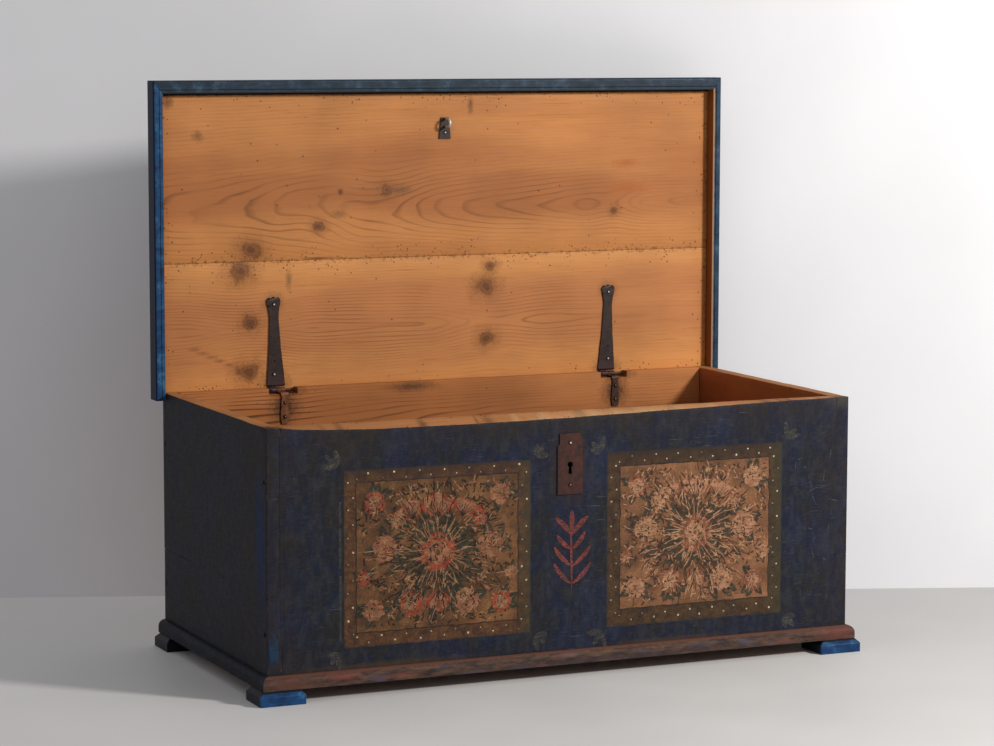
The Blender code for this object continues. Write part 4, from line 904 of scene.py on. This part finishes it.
def iron(name, dark, rust, bright, share, rubbed=None):
    """Wrought iron, hammered and pitted: brown rust, and bare metal on a share of it. Rubbed gives an
    axis, or an attribute, and two values between which it goes bright, as wear and, on the staple and
    the nail heads, partly as painted highlight. The pits are drawn coarser than real ones, to show."""
    made, tree, shader, place = start_finish(name, 0.4, 0.3)
    cloud = add(tree, "TexNoise", {"Vector": place, "Scale": 1 / (11 * MM),
                                   "Detail": 7.0, "Roughness": 0.7})
    colour = add(tree, "ValToRGB", {"Fac": cloud}, stops=((0.35, dark), (0.62, rust)))
    pit = add(tree, "TexNoise", {"Vector": place, "Scale": 1 / (2.6 * MM), "Detail": 5.0})
    rub = add(tree, "MapRange", {"Value": pit, "From Min": 0.75 - share, "From Max": 0.85 - share,
                                 "To Min": 0.0, "To Max": 0.8})
    if rubbed:
        if rubbed[0] in "XYZ":
            along = add(tree, "SeparateXYZ", {"Vector": place}).outputs[rubbed[0]]
        else:
            along = add(tree, "Attribute", attribute_name=rubbed[0]).outputs["Fac"]
            along = add(tree, "Math", {0: pit, 1: 0.6, 2: along}, operation="MULTIPLY_ADD")
        more = add(tree, "MapRange", {"Value": along, "From Min": rubbed[1], "From Max": rubbed[2]})
        rub = add(tree, "Math", {0: rub, 1: more}, operation="MAXIMUM")
    colour = add(tree, "MixRGB", {"Fac": rub, "Color1": colour, "Color2": linear(bright)})
    end_finish(tree, shader, colour, pit, (0.38, 0.62), 0.5 * MM)
    return made


def merged(node):
    """A merged copy of a CAD piece's mesh, in the place of the piece."""
    shape = bmesh.new()
    shape.from_mesh(nodes[node].data)
    shape.transform(nodes[node].matrix_world)
    bmesh.ops.remove_doubles(shape, verts=shape.verts, dist=0.01 * MM)
    bmesh.ops.recalc_face_normals(shape, faces=shape.faces)
    return shape


def settle(shape, name, node, surface, body):
    """Put a finished piece in the place of a CAD piece."""
    made = finished(name, shape, surface)
    made.data.set_sharp_from_angle(angle=IRON_SMOOTH)
    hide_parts(node)
    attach(made, body)


def forge(node, middle, widths, surface, body):
    """A hinge piece with its outline drawn in and out along its height, uneven from the hammer."""
    shape = merged(node)
    low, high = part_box(node)
    for step in range(1, int((high.z - low.z) / HAMMER_STEP)):
        bmesh.ops.bisect_plane(shape, geom=shape.verts[:] + shape.edges[:] + shape.faces[:],
                               plane_co=(0, 0, low.z + step * HAMMER_STEP), plane_no=(0, 0, 1))
    for vertex in shape.verts:
        z = vertex.co.z
        for (below, share), (above, other) in zip(widths, widths[1:]):
            if below <= z <= above:
                share += (other - share) * (z - below) / (above - below)
                line = middle(z)
                hammered = 1 + HAMMER_MARK * noise.noise(Vector((vertex.co.x, z, 0)) / (9 * MM))
                vertex.co.x = line + (vertex.co.x - line) * share * hammered
                break
    settle(shape, node + "_forged", node, surface, body)


dark_iron = iron("dark_wrought_iron", 0x1D1716, 0x33241E, 0x57483F, 0.03)
hinge_iron = iron("dark_wrought_iron_hinges", 0x1E1615, 0x38261F, 0x5A463C, 0.03)
turn_to(hinge_iron, "Z", 0.512, 0.478, 0x40282A, 16 * MM)
for word, side in (("left", -1), ("right", 1)):
    forge("hinge_strap_" + word, lambda z: side * (STRAP_X + STRAP_LEAN * (z - STRAP_FOOT) / STRAP_RUN),
          STRAP_WIDTHS, hinge_iron, "lid")
    leaf_low, leaf_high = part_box("hinge_leaf_" + word)
    leaf_iron = iron("rusty_leaf_iron_" + word, *LEAF_TONES[word], 0x6A4A3C, 0.0)
    forge("hinge_leaf_" + word, lambda z: (leaf_low.x + leaf_high.x) / 2, LEAF_WIDTHS, leaf_iron, "chest")
dress(dark_iron, "lock_case", "lock_bolt", "bolt_keeper", "lock_spring", "key_post")
dress(iron("rusty_pin_iron", 0x2A1712, 0x4A2A1E, 0x6A4A3C, 0.0), "hinge_pin_left", "hinge_pin_right")
rusty_plate = iron("rusty_iron_plate_shadowed_edge", 0x24100A, 0x462015, 0x6A4A3C, 0.0)
# Painted shadow: the key plate goes near-black along its left edge, where it stands off the board.
turn_to(rusty_plate, "X", plate_low.x + 3 * MM, plate_low.x + MM, 0x1A1210, MM)
dress(rusty_plate, "key_plate")
lid_low, lid_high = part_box("lid_board_front")
UNDERSIDE = lid_low.y
# The staple's loop, which stands out from the lid, is near-white: partly iron rubbed bare, partly painted
# highlight.
dress(iron("worn_and_glinting_staple_iron", 0x1D1716, 0x33241E, 0xC4BEB6, 0.03,
           ("Y", UNDERSIDE - 5 * MM, UNDERSIDE - 12 * MM)), "lid_staple")

# The nail heads go bright towards their crowns: partly iron rubbed bare, partly painted highlight.
nail_iron = iron("worn_nail_iron", 0x241B18, 0x40312A, 0xC4BEB6, 0.0, ("crown", 0.66, 1.05))
rusty_nail = iron("rusty_and_glinting_nail_iron", 0x1E1310, 0x3C261C, 0x8A7468, 0.0, ("crown", 0.85, 1.15))
for node in [name for name in nodes if "_nail" in name]:
    head = merged(node)
    low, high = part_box(node)
    crown = head.verts.layers.float.new("crown")
    for vertex in head.verts:
        out = vertex.co - (low + high) / 2
        vertex[crown] = 1 - 2 * math.hypot(out.x, out.z) / (high.x - low.x)
        knock = KNOCK * (noise.noise(vertex.co / (3 * MM)) - 1)
        vertex.co.x += out.x * knock
        vertex.co.z += out.z * knock
    body = "lid" if "strap" in node or "staple" in node else "chest"
    settle(head, node + "_worn", node, rusty_nail if node.startswith(RUSTY_NAILS) else nail_iron, body)

# Lid boards: a wide front and a narrower rear pine board, edge to edge. Bare and honey-brown below,
# with knots and arched grain; painted dark blue on top.

LID_BAND = 34 * MM
LID_WEAR = 0.5 * MM
FRONT_KNOTS = ((-0.121, 0.849, 18), (-0.261, 0.783, 15), (-0.399, 0.742, 26), (0.366, 0.800, 11))
FRONT_STAINS = (
    (0.392, 0.894, 36, 12, 0xA65C26), (0.397, 0.845, 60, 16, 0xA65C26), (-0.090, 0.849, 26, 12, 0x6A4A30),
    (-0.220, 0.806, 22, 10, 0x8A5C34), (0.0, 0.966, 20, 26, 0x8A5A34), (-0.502, 0.958, 14, 12, 0x6E4426),
    (0.055, 1.012, 7, 22, 0x4A2C18), (-0.216, 0.849, 7, 8, 0x3A2010), (-0.560, 1.022, 14, 16, 0x5A3820),
    (-0.262, 0.723, 36, 3, 0x4A2A16))
REAR_KNOTS = ((-0.419, 0.700, 27), (-0.400, 0.603, 21), (-0.404, 0.510, 27), (0.087, 0.659, 26),
              (0.090, 0.555, 21), (0.098, 0.698, 14))
REAR_STAINS = [
    (-0.354, 0.64, 26, 24, 0x7A5030), (0.354, 0.64, 26, 24, 0x7A5030), (-0.350, 0.49, 34, 26, 0x6A4428),
    (0.350, 0.49, 34, 26, 0x6A4428), (-0.322, 0.685, 8, 24, 0x7E5C34)]
REAR_STAINS += [(-0.512 + 0.017 * step, 0.558 - 0.008 * step, 15, 4.5, 0x8A5630) for step in range(5)]


def lid_pine(name, pale, deep, heart, lean, knots, stains, redder, calm):
    """Honey-brown pine of the lid, with its knots and stains, whose sizes are in mm."""
    return pine(name, pale, deep, (heart[0], UNDERSIDE, heart[1]), (0, 0, lean), 6.3 * MM, 0.6,
                [(x, UNDERSIDE, z, size * MM) for x, z, size in knots],
                [(x, UNDERSIDE, z, wide * MM, high * MM, tone) for x, z, wide, high, tone in stains],
                redder=redder, calm=calm)


lid_front_pine = lid_pine("honey_pine_lid_front", 0xC28046, 0xA86838, (0.62, 0.815), 0.085, FRONT_KNOTS,
                          FRONT_STAINS, 58 * MM, (0.05, 0.75))
lid_rear_pine = lid_pine("honey_pine_lid_rear", 0xCE8C4E, 0xBA7846, (-0.40, 0.59), -0.030, REAR_KNOTS,
                         REAR_STAINS, 15 * MM, (0.12, 0.42))
# Painted shade: a near-black line along the top edge of the front lid board, under the front moulding.
turn_to(lid_front_pine, "Z", lid_high.z - 5 * MM, lid_high.z - 3 * MM, 0x1E120A, 1.5 * MM)
navy_lid = navy_paint("old_navy_paint_lid", (1.0, 1.1), (0.5, 0.6))
for node, wood in (("lid_board_front", lid_front_pine), ("lid_board_rear", lid_rear_pine)):
    low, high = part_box(node)
    board = plank(node + "_dressed", low, high, (navy_lid, wood), [Vector((0, 1, 0))], LID_WEAR, LID_BAND)
    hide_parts(node)
    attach(board, "lid")

# Lid mouldings: pine strips along the front and the ends of the lid, mitred at the corners and painted
# blue or slate-blue. Their inner faces are bare brown wood where no brush went, and the right one has a
# bare lip. The front one has a dark line along its lower edge and the left one a near-black outer
# face, both painted shade.

LIP = 3.4 * MM
BROWN_WOOD = 0x8A5428
slate_blue = blue_paint("rubbed_and_shaded_slate_blue_paint", 0x1E2831, 0x2A3845, 0x486172)
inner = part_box("lid_moulding_front")[0].z
# Painted shade: a dark line along the lower edge of the front moulding.
turn_to(slate_blue, "Z", inner + 2.2 * MM, inner + 1.2 * MM, 0x241A14, MM)
dress(slate_blue, "lid_moulding_front")
left_blue = blue_paint("rubbed_blue_paint_left", 0x182A44, 0x244C72, 0x4E80A0)
outer, inner = [corner.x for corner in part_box("lid_moulding_left")]
# Painted shade: the outer face of the left moulding goes near-black.
turn_to(left_blue, "X", outer + 2.2 * MM, outer + 1.2 * MM, 0x0A1430)
turn_to(left_blue, "X", inner - 0.6 * MM, inner - 0.3 * MM, BROWN_WOOD)
dress(left_blue, "lid_moulding_left")
right_blue = blue_paint("rubbed_blue_paint_right", 0x1E2B39, 0x2C4155, 0x4A6176)
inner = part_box("lid_moulding_right")[0].x
turn_to(right_blue, "X", inner + LIP + 0.6 * MM, inner + LIP, 0x94785E, 2 * MM)
turn_to(right_blue, "X", inner + 0.6 * MM, inner + 0.3 * MM, BROWN_WOOD)
dress(right_blue, "lid_moulding_right")

# Studio: a pale floor, a pale wall that only the camera sees and only from its front, one soft lamp
# from the front right, and even light all round.

FLOOR_HALF = 12
WALL_HEIGHT = 5
WALL_FOOT = Vector((-0.678, 0.849, 0.0))
WALL_RUN = Vector((0.937, -0.349, 0.0))


def sheet(name, corner, run, rise, tones):
    """A flat pale sheet of the studio, with faint clouds in its colour."""
    shape = bmesh.new()
    for vertex in bmesh.ops.create_grid(shape, x_segments=1, y_segments=1, size=0.5)["verts"]:
        vertex.co = corner + run * (vertex.co.x + 0.5) + rise * (vertex.co.y + 0.5)
    surface, tree, shader, place = start_finish("pale_" + name, 0.2)
    cloud = add(tree, "TexNoise", {"Vector": place, "Scale": 2.5, "Detail": 4.0})
    tone = add(tree, "ValToRGB", {"Fac": cloud}, stops=((0.3, tones[0]), (0.7, tones[1])))
    end_finish(tree, shader, tone, cloud, (0.45, 0.6), 0.2 * MM)
    made = finished(name, shape, surface)
    return made, tree, shader


sheet("studio_floor", Vector((-FLOOR_HALF, -FLOOR_HALF, 0)), Vector((2 * FLOOR_HALF, 0, 0)),
      Vector((0, 2 * FLOOR_HALF, 0)), (0xDAD8D5, 0xE0DEDB))
wall, tree, shader = sheet("studio_wall", WALL_FOOT - 6 * WALL_RUN, 14 * WALL_RUN,
                           Vector((0, 0, WALL_HEIGHT)), (0xE8E8EA, 0xEEEEF0))
wall.visible_diffuse = False
wall.visible_glossy = False
wall.visible_shadow = False
behind = add(tree, "NewGeometry").outputs["Backfacing"]
veil = add(tree, "MixShader", {0: behind, 1: shader, 2: add(tree, "BsdfTransparent")})
tree.links.new(veil.outputs[0], tree.nodes["Material Output"].inputs["Surface"])

LAMP_AT = Vector((2.01, -2.79, 2.06))
LAMP_AIM = Vector((0, 0, 0.5))
LAMP_SIZE = 0.5
LAMP_POWER = 112
WORLD_LIGHT = 0.45
lamp = bpy.data.lights.new("soft_lamp", "AREA")
lamp.shape = "DISK"
lamp.size = LAMP_SIZE
lamp.energy = LAMP_POWER
lamp.color = (1.0, 0.98, 0.95)
stand = bpy.data.objects.new("soft_lamp", lamp)
stand.location = LAMP_AT
stand.rotation_euler = (LAMP_AT - LAMP_AIM).to_track_quat("Z", "Y").to_euler()
bpy.context.scene.collection.objects.link(stand)

world = bpy.data.worlds.new("even_light")
bpy.context.scene.world = world
world.use_nodes = True
world.node_tree.nodes["Background"].inputs["Color"].default_value = linear(0xF4F4F8)
world.node_tree.nodes["Background"].inputs["Strength"].default_value = WORLD_LIGHT

# Camera: at the height of a standing person's chest, to the left of the trunk, with a long lens and a
# slight tilt down, as in the photograph.

CAMERA_AT = (-2.34219, -5.1490, 1.1654)
PAN = 0.42435
TILT = 0.11352
ROLL = -0.00202
LENS = 110.54
lens = bpy.data.cameras.new("camera")
lens.sensor_width = 36.0
lens.lens = LENS
camera = bpy.data.objects.new("camera", lens)
camera.matrix_world = (Matrix.Translation(CAMERA_AT) @ Matrix.Rotation(-PAN, 4, "Z")
                       @ Matrix.Rotation(math.pi / 2 - TILT, 4, "X") @ Matrix.Rotation(-ROLL, 4, "Z"))
bpy.context.scene.collection.objects.link(camera)
bpy.context.scene.camera = camera
bpy.context.scene.view_settings.view_transform = "Standard"
